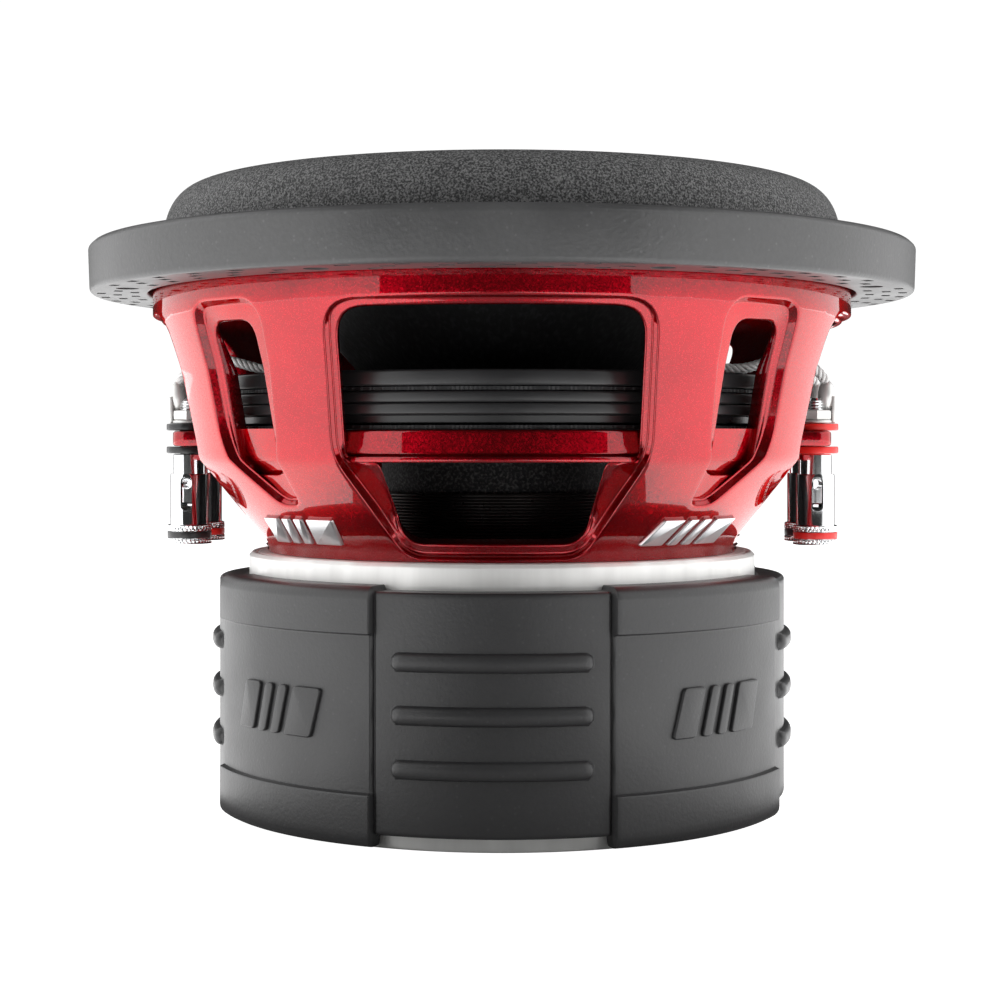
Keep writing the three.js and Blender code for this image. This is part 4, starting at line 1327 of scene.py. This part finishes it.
# ---- stage ---------------------------------------------------------------------------------
def panel_light(name, place, target, size, power):
    """A soft rectangular light that faces a point, sizes in metres."""
    data = bpy.data.lights.new(name, "AREA")
    data.shape = "RECTANGLE"
    data.size, data.size_y = size
    data.energy = power
    lamp = bpy.data.objects.new(name, data)
    bpy.context.scene.collection.objects.link(lamp)
    away = np.array(place) - np.array(target)
    flat = float(np.hypot(away[0], away[1]))
    lamp.rotation_euler = (np.arctan2(flat, away[2]), 0, np.arctan2(away[1], away[0]) + pi / 2)
    lamp.location = place
    return lamp


class SPEAKER_OT_stage(bpy.types.Operator):
    """Pale floor, plain surroundings, soft lights and the camera"""

    bl_idname = "speaker.stage"
    bl_label = "Stage"

    def execute(self, context):
        scene = context.scene
        scene.view_settings.view_transform = "Standard"
        reach = 40.0
        mesh = bpy.data.meshes.new("floor")
        mesh.from_pydata([(-reach, -reach, 0), (reach, -reach, 0), (reach, reach, 0), (-reach, reach, 0)],
                         [], [(0, 1, 2, 3)])
        floor = bpy.data.objects.new("floor", mesh)
        scene.collection.objects.link(floor)
        material, tree, shader, where = finish("pale floor", {"Roughness": 0.9})
        shader.inputs["Emission Color"].default_value = (1, 1, 1, 1)
        seen = node(tree, "ShaderNodeLightPath").outputs["Is Camera Ray"]
        tree.links.new(ramp(tree, seen, 0, 1, 0.0, 1.05), shader.inputs["Emission Strength"])
        base = mix(tree, noise(tree, where, 30.0), (0.43, 0.43, 0.43, 1), (0.47, 0.47, 0.47, 1))
        feed(tree, shader.inputs, {"Base Color": base})
        mesh.materials.append(material)

        world = bpy.data.worlds.new("plain surroundings")
        scene.world = world
        world.use_nodes = True
        tree = world.node_tree
        tree.nodes.clear()
        seen = node(tree, "ShaderNodeBackground", {"Color": (1, 1, 1, 1), "Strength": 1.05}).outputs[0]
        light = node(tree, "ShaderNodeBackground", {"Color": (1, 1, 1, 1), "Strength": 0.03}).outputs[0]
        camera_ray = node(tree, "ShaderNodeLightPath").outputs["Is Camera Ray"]
        chosen = node(tree, "ShaderNodeMixShader", {0: camera_ray, 1: light, 2: seen}).outputs[0]
        node(tree, "ShaderNodeOutputWorld", {"Surface": chosen})

        power_per_width, away, high, floor_away = 9.6, 0.9, 0.9, 0.555
        for side, name, middle, width in ((-1, "left", -0.14, 2.28), (1, "right", -0.025, 2.05)):
            panel_light(f"{name} panel", (side * away, middle, high), (0, middle, high), (width, 1.8),
                        width * power_per_width)
            panel_light(f"{name} floor panel", (side * floor_away, -0.08, 0.003),
                        (side * floor_away, -0.081, 1), (0.95, 2.15), 12.5)
        panel_light("top panel", (0, -0.15, 1.2), (0, 0, 0.1), (0.9, 0.7), 3).visible_glossy = False

        data = bpy.data.cameras.new("camera")
        data.lens = 70.3
        data.shift_x, data.shift_y = -0.002, -0.058
        camera = bpy.data.objects.new("camera", data)
        distance, turn = 0.5255, radians(1.8)
        camera.location = (distance * sin(turn), -distance * cos(turn), 0.0959)
        camera.rotation_euler = (pi / 2, 0, turn)
        scene.collection.objects.link(camera)
        scene.camera = camera
        return {"FINISHED"}


class SPEAKER_PT_panel(bpy.types.Panel):
    """Lists the speaker's sizes, colours and pieces"""

    bl_idname = "SPEAKER_PT_panel"
    bl_label = "Car subwoofer speaker"
    bl_space_type = "VIEW_3D"
    bl_region_type = "UI"
    bl_category = "Speaker"

    def draw(self, context):
        layout = self.layout
        for settings in (context.scene.speaker_sizes, context.scene.speaker_colours):
            box = layout.box()
            for name in settings.__annotations__:
                box.prop(settings, name)
        for operator in PIECES:
            layout.operator(operator.bl_idname)


PIECES = (
    SPEAKER_OT_stage, SPEAKER_OT_basket, SPEAKER_OT_marks, SPEAKER_OT_gasket, SPEAKER_OT_surround,
    SPEAKER_OT_boot, SPEAKER_OT_motor, SPEAKER_OT_stack, SPEAKER_OT_cone, SPEAKER_OT_terminals)
CLASSES = (SpeakerSizes, SpeakerColours, *PIECES, SPEAKER_PT_panel)


def register():
    for made in CLASSES:
        bpy.utils.register_class(made)
    bpy.types.Scene.speaker_sizes = PointerProperty(type=SpeakerSizes)
    bpy.types.Scene.speaker_colours = PointerProperty(type=SpeakerColours)


def unregister():
    del bpy.types.Scene.speaker_colours
    del bpy.types.Scene.speaker_sizes
    for made in reversed(CLASSES):
        bpy.utils.unregister_class(made)


def main():
    register()
    make_finishes(bpy.context.scene.speaker_colours)
    for operator in PIECES:
        group, name = operator.bl_idname.split(".")
        getattr(getattr(bpy.ops, group), name)()


if __name__ == "__main__":
    main()
